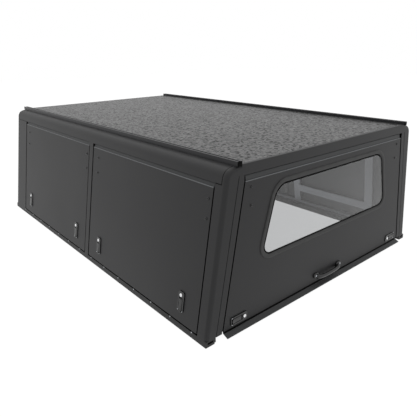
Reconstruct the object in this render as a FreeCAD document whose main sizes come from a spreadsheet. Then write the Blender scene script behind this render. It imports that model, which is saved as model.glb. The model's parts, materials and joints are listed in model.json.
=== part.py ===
import FreeCAD, Part
import Sketcher
import math
import os
from FreeCAD import Placement, Rotation, Vector

# Canopy for the load bed of a pickup truck.
# X points to the truck's right, Y forward to the cab, Z up, in millimetres.
# The origin is the middle of the bounding box at the height of the bed rails.
# Widths and heights are given for the left half, and the right half mirrors it.
# The side walls lean inwards: "along" runs forward from the rear face, "up" runs
# up the leaning wall from the bed rail and "deep" runs in from its outer face.

SIZES = {
    # overall
    "body_length": 2110,
    "base_half": 750,
    "lean": 9.69,
    "wall_deep": 33,
    "handle_reach": 34,
    "running_gap": 7,
    # roof
    "roof_top": 675,
    "roof_thick": 20,
    "roof_inset": 65,
    "roof_fit": 2,
    "roof_edge_round": 2,
    "ledge": 25,
    "sheet_thick": 3,
    "rail_wide": 22,
    "rail_high": 18,
    "rail_slot": 8,
    "rail_lip": 3,
    "rail_sunk": 5,
    "shoulder_drop": 15,
    "shoulder_round": 42,
    "rear_cap_deep": 14,
    "rear_edge_round": 4,
    # headers
    "side_header_high": 63,
    "rear_header_high": 41,
    # posts
    "post_low": 25,
    "post_along": 54,
    "front_post_along": 170,
    "corner_round": 16,
    "face_low": 79,
    "face_high": 88,
    "front_face": 80,
    "corner_block": 22,
    "mullion_along": 37,
    "stop_deep": 3,
    "stop_wide": 14,
    "stop_seat": 10,
    "crease_inset": 28,
    "crease_wide": 3,
    "crease_deep": 1.5,
    # sills
    "seal_high": 6,
    "sill_high": 25,
    "sill_wide": 52,
    "sill_slot_long": 28,
    "sill_slot_high": 9,
    "stop_high": 15,
    "beam_high": 46,
    "seal_outset": 2,
    "seal_inset": 6,
    "seal_gap": 4,
    # hinge: a rod on the header and a claw on the door that turns round it
    "rod_radius": 6,
    "rod_clearance": 0.3,
    "rod_inset": 2,
    "axis_deep": 14,
    "hinge_drop": 17,
    "roll_high": 14,
    "roll_out": 7,
    "roll_round": 4,
    "mouth_out": 5,
    "stem_thick": 3,
    "web_drop": 6,
    "claw_end_angle": 196,
    "side_strip": 4,
    "rear_strip": 9.5,
    # doors
    "door_low": 30,
    "skin_deep": 1,
    "skin_thick": 3,
    "frame_deep": 28,
    "frame_wide": 28,
    "stile_aft": 129,
    "stile_fore": 202,
    "stile_wide": 48,
    "rail_low": 130,
    "rail_wide_door": 46,
    # hatch
    "hatch_low": 30,
    "hatch_frame_wide": 45,
    "midrail_low": 205,
    "midrail_wide": 30,
    "flap_inset": 3,
    "flap_reach": 20,
    "flap_low": 8,
    "flap_high": 22,
    "flap_thick": 3,
    "flap_seat": 20,
    # window
    "window_low": 263,
    "window_drop": 51,
    "window_side_low": 130,
    "window_side_high": 161,
    "window_round_low": 60,
    "window_round_high": 90,
    "gasket_wide": 23,
    "gasket_lip": 8,
    "gasket_proud": 3,
    "gasket_web": 4,
    "glass_thick": 5,
    "glass_fit": 0.5,
    # latches
    "latch_wide": 36,
    "latch_long": 88,
    "latch_up": 118,
    "latch_inset": 108,
    "latch_round": 9,
    "latch_proud": 3,
    "latch_deep": 11,
    "latch_fit": 0.5,
    "latch_pocket": 4,
    "bay_wide": 24.6,
    "bay_low": 40,
    "bay_high": 18,
    "bay_deep": 5,
    "key_up": 29,
    "key_radius": 7,
    "key_proud": 3,
    "lever_wide": 22.4,
    "lever_low": 38,
    "lever_thick": 4.5,
    "pivot_up": 11,
    "pivot_deep": 0.5,
    "barrel_radius": 3,
    "pin_radius": 2,
    "pin_long": 30,
    "hatch_latch_inset": 76,
    "hatch_latch_up": 57,
    # pull handle
    "handle_half": 88,
    "handle_up": 62,
    "handle_foot": 26,
    "foot_thick": 4,
    "handle_radius": 7,
    "handle_bend": 20,
    "handle_leg": 5,
}


class Size:
    """A number that keeps the sheet expression it comes from."""

    def __init__(self, number, text=None):
        self.number = float(number)
        self.text = text if text else repr(float(number))

    def __add__(self, other):
        other = size(other)
        return Size(self.number + other.number, f"({self.text} + {other.text})")

    def __radd__(self, other):
        return size(other) + self

    def __sub__(self, other):
        other = size(other)
        return Size(self.number - other.number, f"({self.text} - {other.text})")

    def __rsub__(self, other):
        return size(other) - self

    def __mul__(self, other):
        other = size(other)
        return Size(self.number * other.number, f"({self.text} * {other.text})")

    def __rmul__(self, other):
        return size(other) * self

    def __truediv__(self, other):
        other = size(other)
        return Size(self.number / other.number, f"({self.text} / {other.text})")

    def __neg__(self):
        return Size(-self.number, f"(-{self.text})")


def size(value):
    return value if isinstance(value, Size) else Size(value)


def sine(angle):
    return Size(math.sin(math.radians(angle.number)), f"sin({angle.text} * 1deg)")


def cosine(angle):
    return Size(math.cos(math.radians(angle.number)), f"cos({angle.text} * 1deg)")


doc = FreeCAD.newDocument("canopy")
sheet = doc.addObject("Spreadsheet::Sheet", "Sizes")
for row, (alias, number) in enumerate(SIZES.items(), start=1):
    sheet.set(f"A{row}", alias)
    sheet.set(f"B{row}", str(number))
    sheet.setAlias(f"B{row}", alias)
doc.recompute()


class Table:
    """The sheet's sizes as attributes."""


dim = Table()
for alias, number in SIZES.items():
    setattr(dim, alias, Size(number, f"Sizes.{alias}"))

# how far a feature reaches into or past another one that it joins or cuts
OVERLAP = 1

# places that several pieces share
lean_sine = sine(dim.lean)
lean_cosine = cosine(dim.lean)
wall_slope = lean_sine / lean_cosine
rear = -(dim.body_length - dim.handle_reach) / 2
front = rear + dim.body_length


def wall_half(height):
    """Half width of the canopy's outer face at a height."""
    return dim.base_half - height * wall_slope


rail_base = dim.roof_top - dim.rail_sunk
roof_half = wall_half(dim.roof_top) - dim.roof_inset
rail_out = roof_half + dim.rail_wide
shoulder_high = dim.roof_top - dim.shoulder_drop
side_header_low = dim.roof_top - dim.side_header_high
rear_header_low = dim.roof_top - dim.rear_header_high

# the hinge axes: on a side, up the leaning wall and in the frame, and at the rear
header_depth = dim.axis_deep + dim.running_gap
side_hinge_high = side_header_low - dim.hinge_drop
side_hinge_up = (side_hinge_high + dim.axis_deep * lean_sine) / lean_cosine
side_hinge_half = dim.base_half - side_hinge_up * lean_sine - dim.axis_deep * lean_cosine
rear_hinge_high = rear_header_low - dim.hinge_drop

# the opening between the rear posts
opening_low = wall_half(dim.post_low) - dim.face_low
opening_high = wall_half(rear_header_low) - dim.face_high
hatch_slope = (opening_low - opening_high) / (rear_header_low - dim.post_low)


def hatch_opening(height):
    """Half width between the rear posts at a height."""
    return opening_low - (height - dim.post_low) * hatch_slope


def hatch_half(height):
    """Half width of the hatch at a height."""
    return hatch_opening(height) - dim.running_gap


hatch_latch_half = hatch_half(dim.hatch_latch_up) - dim.hatch_latch_inset
window_high = rear_header_low - dim.window_drop
window_half_low = hatch_half(dim.window_low) - dim.window_side_low
window_half_high = hatch_half(window_high) - dim.window_side_high

# the doors' two ends along each side
mullion_rear = (dim.post_along + dim.body_length - dim.front_post_along - dim.mullion_along) / 2
rear_door = (dim.post_along + dim.running_gap, mullion_rear - dim.running_gap)
front_door = (
    mullion_rear + dim.mullion_along + dim.running_gap,
    dim.body_length - dim.front_post_along - dim.running_gap,
)
DOORS = {"rear": rear_door, "front": front_door}

X_AXIS, Y_AXIS, Z_AXIS = Vector(1, 0, 0), Vector(0, 1, 0), Vector(0, 0, 1)
subparts = []


def new_body(label):
    body = doc.addObject("PartDesign::Body", label)
    body.Label = label
    subparts.append(body)
    return body


def origin_plane(body, name):
    role = f"{name}_Plane"
    return next(f for f in body.Origin.OriginFeatures if f.Role == role)


def fix_point(sketch, line, point, end=1):
    """Hold one end of a line, or a circle's centre, at a point given by two sizes."""
    for kind, place in (("DistanceX", point[0]), ("DistanceY", point[1])):
        number = sketch.addConstraint(Sketcher.Constraint(kind, -1, 1, line, end, place.number))
        sketch.setExpression(f"Constraints[{number}]", place.text)


def draw_loop(sketch, points):
    """A closed outline of straight lines through the points."""
    points = [(size(x), size(y)) for x, y in points]
    first = sketch.GeometryCount
    count = len(points)
    ends = [Vector(x.number, y.number, 0) for x, y in points]
    for index in range(count):
        sketch.addGeometry(Part.LineSegment(ends[index], ends[(index + 1) % count]))
    for index in range(count):
        after = first + (index + 1) % count
        sketch.addConstraint(Sketcher.Constraint("Coincident", first + index, 2, after, 1))
    for index in range(count):
        fix_point(sketch, first + index, points[index])


def draw_circle(sketch, centre, radius):
    centre = (size(centre[0]), size(centre[1]))
    middle = Vector(centre[0].number, centre[1].number, 0)
    number = sketch.addGeometry(Part.Circle(middle, Vector(0, 0, 1), radius.number))
    fix_point(sketch, number, centre, 3)
    held = sketch.addConstraint(Sketcher.Constraint("Radius", number, radius.number))
    sketch.setExpression(f"Constraints[{held}]", radius.text)


def new_sketch(body, plane, start, loops=(), circles=()):
    """A sketch on an origin plane of the body, moved to a start along X, Y or Z."""
    sketch = body.newObject("Sketcher::SketchObject", f"{body.Label}_sketch")
    sketch.AttachmentSupport = (origin_plane(body, plane), [""])
    sketch.MapMode = "FlatFace"
    start = size(start)
    offset = -start if plane == "XZ" else start
    sketch.setExpression("AttachmentOffset.Base.z", offset.text)
    for points in loops:
        draw_loop(sketch, points)
    for centre, radius in circles:
        draw_circle(sketch, centre, radius)
    return sketch


def add(body, plane, start, length, loops=(), circles=()):
    """Material from start, over a length, along the plane's axis."""
    sketch = new_sketch(body, plane, start, loops, circles)
    pad = body.newObject("PartDesign::Pad", f"{body.Label}_pad")
    pad.Profile = sketch
    pad.Reversed = plane == "XZ"
    pad.setExpression("Length", size(length).text)
    return pad


def cut(body, plane, start, length, loops=(), circles=()):
    """A pocket from start, over a length, along the plane's axis."""
    doc.recompute()
    before = body.Shape.Volume
    sketch = new_sketch(body, plane, start, loops, circles)
    pocket = body.newObject("PartDesign::Pocket", f"{body.Label}_pocket")
    pocket.Profile = sketch
    pocket.Reversed = plane != "XZ"
    pocket.setExpression("Length", size(length).text)
    doc.recompute()
    if not body.Shape.Volume < before:
        raise ValueError(f"a pocket in {body.Label} cuts nothing")
    return pocket


def fillet(body, radius, pick):
    """Round the edges of the body that pick chooses."""
    doc.recompute()
    base = body.Tip
    names = [f"Edge{n}" for n, edge in enumerate(base.Shape.Edges, start=1) if pick(edge)]
    if not names:
        raise ValueError(f"no edge to round in {body.Label}")
    feature = body.newObject("PartDesign::Fillet", f"{body.Label}_fillet")
    feature.Base = (base, names)
    feature.setExpression("Radius", size(radius).text)
    return feature


def along(edge, axis):
    """True where an edge is straight and runs along an axis of the body."""
    if edge.Curve.TypeId != "Part::GeomLine":
        return False
    direction = edge.Vertexes[-1].Point - edge.Vertexes[0].Point
    return abs(direction.normalize().dot(axis)) > 0.999


def near(edge, x=None, y=None, z=None, reach=0.5):
    """True where the middle of an edge lies at the given coordinates."""
    middle = edge.CenterOfMass
    wanted = ((middle.x, x), (middle.y, y), (middle.z, z))
    return all(w is None or abs(m - size(w).number) < reach for m, w in wanted)


def rectangle(x_low, x_high, y_low, y_high):
    return [(x_low, y_low), (x_high, y_low), (x_high, y_high), (x_low, y_high)]


def lay_on_wall(body):
    """Put a piece drawn as along, up, deep onto the leaning left wall."""
    x_axis = Vector(0, 1, 0)
    y_axis = Vector(lean_sine.number, 0, lean_cosine.number)
    z_axis = Vector(lean_cosine.number, 0, -lean_sine.number)
    base = Vector(-dim.base_half.number, rear.number, 0)
    body.Placement = Placement(base, Rotation(x_axis, y_axis, z_axis, "ZXY"))


def mirror_right(left):
    """The same piece on the truck's right side."""
    right = doc.addObject("Part::Mirroring", left.Label.replace("left", "right"))
    right.Label = left.Label.replace("left", "right")
    right.Source = left
    right.Normal = (1, 0, 0)
    right.Base = (0, 0, 0)
    subparts.append(right)
    return right


def roof_panel():
    body = new_body("roof_panel")
    half = roof_half - dim.roof_fit
    low = dim.roof_top - dim.roof_thick
    add(body, "XY", low, dim.roof_thick, [
        rectangle(-half, half, rear + dim.rear_cap_deep, front - dim.rear_cap_deep)])
    fillet(body, dim.roof_edge_round, lambda e: near(e, z=dim.roof_top))


def roof_rail():
    """A track with a slot along its top for racks and tie-downs."""
    body = new_body("roof_rail_left")
    lip = dim.rail_lip
    low = rail_base
    high = rail_base + dim.rail_high
    out, inside = -rail_out, -roof_half
    slot_out = (out + inside) / 2 - dim.rail_slot / 2
    slot_in = (out + inside) / 2 + dim.rail_slot / 2
    add(body, "XZ", rear, dim.body_length, [[
        (out, low), (inside, low), (inside, high), (slot_in, high), (slot_in, high - lip),
        (inside - lip, high - lip), (inside - lip, low + lip), (out + lip, low + lip),
        (out + lip, high - lip), (slot_out, high - lip), (slot_out, high), (out, high)]])
    mirror_right(body)


def hinge_web(body, plane, start, length, half, high, lift):
    """The web, stem and rod of a header; the web hangs inwards of the rod.

    The stem's middle lies above the rod's by the lift, so that the open claw clears it.
    """
    web_near = half + header_depth
    web_far = web_near + dim.sheet_thick
    top = high + dim.hinge_drop + OVERLAP
    add(body, plane, start, length, [rectangle(web_near, web_far, high - dim.web_drop, top)])
    add(body, plane, start, length, [
        rectangle(half, web_far, high + lift - dim.stem_thick / 2, high + lift + dim.stem_thick / 2)])
    add(body, plane, start, length, circles=[((half, high), dim.rod_radius)])


def side_header():
    """The eaves beam: its outer face leans with the wall and rolls over to the roof rail."""
    body = new_body("header_left")
    low = side_header_low
    ledge = dim.roof_top - dim.roof_thick
    inner = -side_hinge_half + header_depth + dim.sheet_thick
    shelf = -roof_half + dim.ledge
    length = dim.body_length - 2 * dim.corner_block
    shoulder = -wall_half(shoulder_high)
    add(body, "XZ", rear + dim.corner_block, length, [[
        (-wall_half(low), low), (inner, low), (inner, ledge - dim.sheet_thick),
        (shelf, ledge - dim.sheet_thick), (shelf, ledge), (-roof_half, ledge),
        (-roof_half, rail_base), (-rail_out, rail_base), (shoulder, shoulder_high)]])
    fillet(body, dim.shoulder_round, lambda e: along(e, Y_AXIS) and near(
        e, x=shoulder, z=shoulder_high))
    for start, end in DOORS.values():
        hinge_web(body, "XZ", rear + start + dim.rod_inset, end - start - 2 * dim.rod_inset,
                  -side_hinge_half, side_hinge_high, 0)
    mirror_right(body)


def cross_header(label, hinged):
    """The beam across the rear or the front, with the hatch's hinge rod at the rear."""
    body = new_body(label)
    low = rear_header_low
    ledge = dim.roof_top - dim.roof_thick
    face = rear if hinged else front
    inward = size(1 if hinged else -1)
    cap = face + inward * dim.rear_cap_deep
    block = face + inward * dim.corner_block
    web = face + inward * (header_depth + dim.axis_deep + dim.sheet_thick)
    shelf = web + inward * dim.ledge
    beam_half = roof_half - dim.ledge
    add(body, "YZ", -roof_half, 2 * roof_half, [[
        (face, low), (face, dim.roof_top), (cap, dim.roof_top), (cap, ledge),
        (block, ledge), (block, low)]])
    fillet(body, dim.rear_edge_round, lambda e: near(e, y=face, z=dim.roof_top))
    add(body, "YZ", -beam_half, 2 * beam_half, [[
        (block, low), (block, ledge), (shelf, ledge), (shelf, ledge - dim.sheet_thick),
        (web, ledge - dim.sheet_thick), (web, low)]])
    if hinged:
        hinge_half = hatch_half(rear_header_low) - dim.rod_inset
        hinge_web(body, "YZ", -hinge_half, 2 * hinge_half,
                  rear + dim.axis_deep, rear_hinge_high, dim.stem_thick / 4)


def corner_post(label, face, end, inward, inner_low, inner_high):
    """A corner post: a leg along the wall, a leg across the face and a block on top."""
    body = new_body(label)
    low, high = dim.post_low, side_header_low
    for reach, foot, head in ((end, wall_half(low) - dim.wall_deep, wall_half(high) - dim.wall_deep),
                              (dim.wall_deep, inner_low, inner_high)):
        start = sorted_pair(face, face + inward * reach)[0]
        add(body, "XZ", start, reach, [[
            (-wall_half(low), low), (-foot, low), (-head, high), (-wall_half(high), high)]])
    # the block that closes the corner between the two headers
    start = sorted_pair(face, face + inward * dim.corner_block)[0]
    top = high - OVERLAP
    add(body, "XZ", start, dim.corner_block, [[
        (-wall_half(top), top), (-roof_half, top), (-roof_half, rail_base),
        (-rail_out, rail_base), (-wall_half(shoulder_high), shoulder_high)]])
    fillet(body, dim.shoulder_round, lambda e: along(e, Y_AXIS) and near(
        e, x=-wall_half(shoulder_high), z=shoulder_high))
    # the upper end of the leg across the face
    add(body, "XY", top, rear_header_low - top, [rectangle(
        -roof_half - dim.face_low / 4, -inner_high, *sorted_pair(face, face + inward * dim.wall_deep))])
    round_corner(body, face)
    # the stop behind the door
    stop = sorted_pair(face + inward * (end - dim.stop_seat), face + inward * (end + dim.stop_wide))
    wall_bar(body, stop_low, side_hinge_high - dim.axis_deep, stop[0], stop[1],
             dim.wall_deep, dim.wall_deep + dim.stop_deep)
    return body


def sorted_pair(one, two):
    return (one, two) if one.number < two.number else (two, one)


def round_corner(body, face):
    """Round the outer edge of a corner post, up its wall and over its shoulder."""
    def outer(edge):
        middle = edge.CenterOfMass
        on_wall = abs(middle.x + wall_half(size(middle.z)).number) < 0.5
        on_top = middle.z > side_header_low.number and middle.x < -rail_out.number
        return abs(middle.y - face.number) < 0.5 and (on_wall or on_top)
    fillet(body, dim.corner_round, outer)
    doc.recompute()


def rear_posts():
    post = corner_post("post_rear_left", rear, dim.post_along, size(1),
                       opening_low, hatch_opening(side_header_low))
    # the stop behind the hatch's side
    low, high = dim.sill_high, rear_hinge_high - dim.axis_deep
    outer_low, outer_high = hatch_opening(low) + dim.stop_seat, hatch_opening(high) + dim.stop_seat
    wide = dim.stop_seat + dim.stop_wide
    add(post, "XZ", rear + dim.wall_deep, dim.stop_deep, [[
        (-outer_low, low), (-outer_low + wide, low), (-outer_high + wide, high), (-outer_high, high)]])
    # the crease along the face, beside the hatch
    low, high = dim.post_low - OVERLAP, rear_header_low + OVERLAP
    near_low, near_high = hatch_opening(low) + dim.crease_inset, hatch_opening(high) + dim.crease_inset
    wide = dim.crease_wide
    cut(post, "XZ", rear, dim.crease_deep, [[
        (-near_low, low), (-near_low - wide, low), (-near_high - wide, high), (-near_high, high)]])
    mirror_right(post)


def front_posts():
    post = corner_post("post_front_left", front, dim.front_post_along, size(-1),
                       wall_half(dim.post_low) - dim.front_face, wall_half(side_header_low) - dim.front_face)
    mirror_right(post)


# the stops of posts and mullions start above the sill's own stop
stop_low = dim.sill_high + dim.stop_high + dim.stop_deep


def wall_bar(body, low, high, start, end, near_deep, far_deep):
    """A leaning upright between two heights, from one depth in the wall to another."""
    add(body, "XZ", start, end - start, [[
        (-wall_half(low) + near_deep, low), (-wall_half(low) + far_deep, low),
        (-wall_half(high) + far_deep, high), (-wall_half(high) + near_deep, high)]])


def mullions():
    """The middle post between the two doors of a side, with a stop behind each door."""
    body = new_body("mullion_left")
    start, end = rear + mullion_rear, rear + mullion_rear + dim.mullion_along
    wall_bar(body, dim.sill_high, side_header_low, start, end, 0, dim.wall_deep)
    wall_bar(body, stop_low, side_hinge_high - dim.axis_deep, start - dim.stop_wide,
             end + dim.stop_wide, dim.wall_deep, dim.wall_deep + dim.stop_deep)
    mirror_right(body)


def sills():
    """The side rail on the truck's bed, hollow from end to end, with a door stop."""
    body = new_body("sill_left")
    low, high = dim.seal_high, dim.sill_high
    inner = -dim.base_half + dim.sill_wide
    stop_top = high + dim.stop_high
    stop_near = -wall_half(stop_top) + dim.wall_deep
    middle = -dim.base_half + dim.sill_wide / 2
    add(body, "XZ", rear, dim.body_length, [[
        (-wall_half(low), low), (inner, low), (inner, high), (-wall_half(high), high)]])
    between = dim.body_length - dim.front_post_along - dim.post_along
    add(body, "XZ", rear + dim.post_along, between, [
        rectangle(stop_near, stop_near + dim.stop_deep, high, stop_top)])
    half_long, half_high = dim.sill_slot_long / 2, dim.sill_slot_high / 2
    level = (low + high) / 2
    cut(body, "XZ", rear, dim.body_length, [
        rectangle(middle - half_long, middle + half_long, level - half_high, level + half_high)])
    mirror_right(body)


def base_seals():
    """Rubber strips under the sills and the front beam."""
    body = new_body("base_seals")
    outer = dim.base_half - dim.seal_outset
    inner = dim.base_half - dim.sill_wide + dim.seal_inset
    for side in (-1, 1):
        edges = sorted_pair(side * outer, side * inner)
        add(body, "XY", 0, dim.seal_high, [rectangle(*edges, rear, front)])
    across = inner - dim.seal_gap
    add(body, "XY", 0, dim.seal_high, [
        rectangle(-across, across, front - dim.wall_deep, front - dim.seal_gap)])


def front_wall():
    """The plain bulkhead behind the cab and the beam that it stands on."""
    low, high = dim.seal_high + dim.beam_high, rear_header_low
    half_low, half_high = wall_half(low) - dim.front_face, wall_half(side_header_low) - dim.front_face
    beam = new_body("front_beam")
    half = dim.base_half - dim.sill_wide
    add(beam, "XZ", front - dim.wall_deep, dim.wall_deep, [
        rectangle(-half, half, dim.seal_high, dim.post_low)])
    add(beam, "XZ", front - dim.wall_deep, dim.wall_deep, [
        rectangle(-half_low, half_low, dim.post_low, low)])
    panel = new_body("front_panel")
    add(panel, "XZ", front - dim.sheet_thick, dim.sheet_thick, [[
        (-half_low, low), (half_low, low), (half_high, side_header_low),
        (half_high, high), (-half_high, high), (-half_high, side_header_low)]])


def door_frame(place, start, end):
    """A ring of hollow section with two stiles, a rail and the hinge claw on top."""
    body = new_body(f"door_frame_{place}_left")
    low, high = dim.door_low / lean_cosine, side_hinge_up - dim.axis_deep
    wide = dim.frame_wide
    deep_start = dim.skin_deep + dim.skin_thick
    stile, far_stile = start + dim.stile_aft, end - dim.stile_fore
    rail_high = dim.rail_low + dim.rail_wide_door
    inner_low, inner_high = low + wide, high - wide
    holes = [
        rectangle(start + wide, stile, inner_low, inner_high),
        rectangle(stile + dim.stile_wide, far_stile - dim.stile_wide, inner_low, dim.rail_low),
        rectangle(stile + dim.stile_wide, far_stile - dim.stile_wide, rail_high, inner_high),
        rectangle(far_stile, end - wide, inner_low, inner_high),
    ]
    add(body, "XY", deep_start, dim.frame_deep - deep_start, [rectangle(start, end, low, high)] + holes)
    centre = (side_hinge_up, dim.axis_deep)
    claw(body, start, end - start, dim.side_strip, lambda outward, upward: (
        centre[0] + upward, centre[1] - outward))
    lay_on_wall(body)
    mirror_right(body)


def claw(body, start, length, strip, spot):
    """The hinge claw: a block grooved for the rod, rolled outside, open at the inside top.

    The skin covers its face up to the strip below the axis, and the roll leans back from
    the skin's edge. The function spot turns lengths outwards and upwards from the axis
    into the sketch's own two directions.
    """
    deep = dim.axis_deep
    far = 2 * deep
    behind = deep - dim.skin_deep - dim.skin_thick
    end_out, end_up = cosine(dim.claw_end_angle) * far, sine(dim.claw_end_angle) * far
    add(body, "YZ", start, length, [[
        spot(behind, -deep), spot(-deep, -deep), spot(-deep, dim.roll_high),
        spot(dim.roll_out, dim.roll_high), spot(behind, -strip)]])
    corner = spot(dim.roll_out, dim.roll_high)
    fillet(body, dim.roll_round, lambda e: along(e, X_AXIS) and near(e, y=corner[0], z=corner[1]))
    past, through = start - OVERLAP, length + 2 * OVERLAP
    cut(body, "YZ", past, through, circles=[(spot(0, 0), dim.rod_radius + dim.rod_clearance)])
    cut(body, "YZ", past, through, [[
        spot(0, 0), spot(dim.mouth_out, 0), spot(dim.mouth_out, far), spot(-far, far),
        spot(end_out, end_up)]])


def door_panel(place, start, end):
    """The door's skin, with the cut-outs for its two latches."""
    body = new_body(f"door_panel_{place}_left")
    low, high = dim.door_low / lean_cosine, side_hinge_up - dim.side_strip
    add(body, "XY", dim.skin_deep, dim.skin_thick, [rectangle(start, end, low, high)])
    half_wide = dim.latch_wide / 2 + dim.latch_fit
    half_long = dim.latch_long / 2 + dim.latch_fit
    centres = (start + dim.latch_inset, end - dim.latch_inset)
    cut(body, "XY", dim.skin_deep - OVERLAP, dim.skin_thick + 2 * OVERLAP, [rectangle(
        c - half_wide, c + half_wide, dim.latch_up - half_long, dim.latch_up + half_long)
        for c in centres])
    fillet(body, dim.latch_round, lambda e: along(e, Z_AXIS) and abs(
        e.CenterOfMass.y - dim.latch_up.number) < dim.latch_long.number)
    lay_on_wall(body)
    mirror_right(body)


def latch_housing(body, centre, up):
    """A dished plate with the key cylinder above the lever's bay."""
    half_wide, half_long = dim.latch_wide / 2, dim.latch_long / 2
    front_face = -dim.latch_proud
    add(body, "XY", front_face, dim.latch_proud + dim.latch_deep, [
        rectangle(centre - half_wide, centre + half_wide, up - half_long, up + half_long)])
    fillet(body, dim.latch_round, lambda e: along(e, Z_AXIS) and abs(
        abs(e.CenterOfMass.x - centre.number) - half_wide.number) < 0.1)
    cut(body, "XY", front_face, dim.latch_proud + dim.bay_deep, [rectangle(
        centre - dim.bay_wide / 2, centre + dim.bay_wide / 2, up - dim.bay_low, up + dim.bay_high)])
    pin_reach = dim.pin_long / 2 + dim.rod_clearance
    cut(body, "YZ", centre - pin_reach, 2 * pin_reach, circles=[
        ((up + dim.pivot_up, dim.pivot_deep), dim.pin_radius + dim.rod_clearance)])
    add(body, "XY", front_face - dim.key_proud, dim.key_proud + OVERLAP, circles=[
        ((centre, up + dim.key_up), dim.key_radius)])


def latch_lever(label, centre, up):
    """A flat lever on a barrel whose pins run in the housing's cheeks."""
    body = new_body(label)
    half_wide = dim.lever_wide / 2
    pivot = (up + dim.pivot_up, dim.pivot_deep)
    add(body, "XY", dim.pivot_deep - dim.lever_thick, dim.lever_thick, [rectangle(
        centre - half_wide, centre + half_wide, up - dim.lever_low, up + dim.pivot_up)])
    add(body, "YZ", centre - half_wide, dim.lever_wide, circles=[(pivot, dim.barrel_radius)])
    add(body, "YZ", centre - dim.pin_long / 2, dim.pin_long, circles=[(pivot, dim.pin_radius)])
    return body


def side_doors():
    for place, (start, end) in DOORS.items():
        door_panel(place, start, end)
        door_frame(place, start, end)
        latches = new_body(f"door_latches_{place}_left")
        centres = {"aft": start + dim.latch_inset, "fore": end - dim.latch_inset}
        for where, centre in centres.items():
            latch_housing(latches, centre, dim.latch_up)
        lay_on_wall(latches)
        mirror_right(latches)
        for where, centre in centres.items():
            lever = latch_lever(f"lever_{place}_left_{where}", centre, dim.latch_up)
            lay_on_wall(lever)
            mirror_right(lever)


def window_outline(inset):
    """The window's tapering outline, moved in by an inset."""
    taper = (window_half_low - window_half_high) / (window_high - dim.window_low)
    bottom, top = dim.window_low + inset, window_high - inset
    half_bottom = window_half_low - inset - taper * inset
    half_top = window_half_high - inset + taper * inset
    return [(-half_bottom, bottom), (half_bottom, bottom), (half_top, top), (-half_top, top)]


def round_window(body, inset):
    """Round the four corners of a window outline at an inset."""
    outline = window_outline(inset)
    for radius, first in ((dim.window_round_low, 0), (dim.window_round_high, 2)):
        corners = outline[first:first + 2]
        fillet(body, radius - inset, lambda e: along(e, Y_AXIS) and any(
            near(e, x=x, z=z) for x, z in corners))


def window_ring(label, start, deep, outer, inner):
    """A ring that follows the window's outline between two insets."""
    ring = doc.addObject("PartDesign::Body", label)
    ring.Label = label
    add(ring, "XZ", start, deep, [window_outline(outer)])
    cut(ring, "XZ", start - OVERLAP, deep + 2 * OVERLAP, [window_outline(inner)])
    round_window(ring, outer)
    round_window(ring, inner)
    return ring


def window(face):
    """The rubber section, an outer lip and a web between panel and glass, and the glass."""
    edge = dim.gasket_lip + dim.glass_fit
    web = edge + dim.gasket_web
    lip_ring = window_ring("gasket_lip", rear - dim.gasket_proud, dim.gasket_proud + dim.skin_deep,
                           size(0), dim.gasket_wide)
    web_ring = window_ring("gasket_web", face, dim.glass_thick, edge, web)
    gasket = doc.addObject("Part::MultiFuse", "window_gasket")
    gasket.Label = "window_gasket"
    gasket.Shapes = [lip_ring, web_ring]
    subparts.append(gasket)
    glass = new_body("window_glass")
    pane = web + dim.glass_fit
    add(glass, "XZ", face, dim.glass_thick, [window_outline(pane)])
    round_window(glass, pane)


def hatch_outline(low, high, inset=0):
    return [
        (-hatch_half(low) + inset, low), (hatch_half(low) - inset, low),
        (hatch_half(high) - inset, high), (-hatch_half(high) + inset, high)]


def hatch():
    face = rear + dim.skin_deep
    low = dim.hatch_low
    # the skin with its window and latch cut-outs
    panel = new_body("hatch_panel")
    add(panel, "XZ", face, dim.skin_thick, [hatch_outline(low, rear_hinge_high - dim.rear_strip)])
    past, through = face - OVERLAP, dim.skin_thick + 2 * OVERLAP
    cut(panel, "XZ", past, through, [window_outline(dim.gasket_lip)])
    round_window(panel, dim.gasket_lip)
    half_long = dim.latch_long / 2 + dim.latch_fit
    half_wide = dim.latch_wide / 2 + dim.latch_fit
    for side in (-1, 1):
        centre = side * hatch_latch_half
        cut(panel, "XZ", past, through, [rectangle(
            centre - half_long, centre + half_long,
            dim.hatch_latch_up - half_wide, dim.hatch_latch_up + half_wide)])
    corners = [(side * hatch_latch_half + end * half_long, dim.hatch_latch_up + edge * half_wide)
               for side in (-1, 1) for end in (-1, 1) for edge in (-1, 1)]
    fillet(panel, dim.latch_round, lambda e: along(e, Y_AXIS) and any(
        near(e, x=x, z=z) for x, z in corners))
    # the ring behind it, with the hinge claw along its top
    frame = new_body("hatch_frame")
    ring_start = face + dim.skin_thick
    ring_deep = dim.frame_deep - dim.skin_deep - dim.skin_thick
    ring_top = rear_hinge_high - dim.axis_deep
    wide = dim.hatch_frame_wide
    midrail_high = dim.midrail_low + dim.midrail_wide
    add(frame, "XZ", ring_start, ring_deep, [
        hatch_outline(low, ring_top),
        hatch_outline(low + wide, dim.midrail_low, wide),
        hatch_outline(midrail_high, ring_top - wide / 2, wide)])
    pocket = dim.latch_pocket
    for side in (-1, 1):
        centre = side * hatch_latch_half
        cut(frame, "XZ", ring_start, dim.latch_deep, [rectangle(
            centre - half_long - pocket, centre + half_long + pocket,
            dim.hatch_latch_up - half_wide - OVERLAP, dim.hatch_latch_up + half_wide + pocket)])
    half = hatch_half(rear_hinge_high + dim.roll_high)
    claw(frame, -half, 2 * half, dim.rear_strip, lambda outward, upward: (
        rear + dim.axis_deep - outward, rear_hinge_high + upward))
    window(face)
    flap()
    pull_handle()
    hatch_latches()


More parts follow.
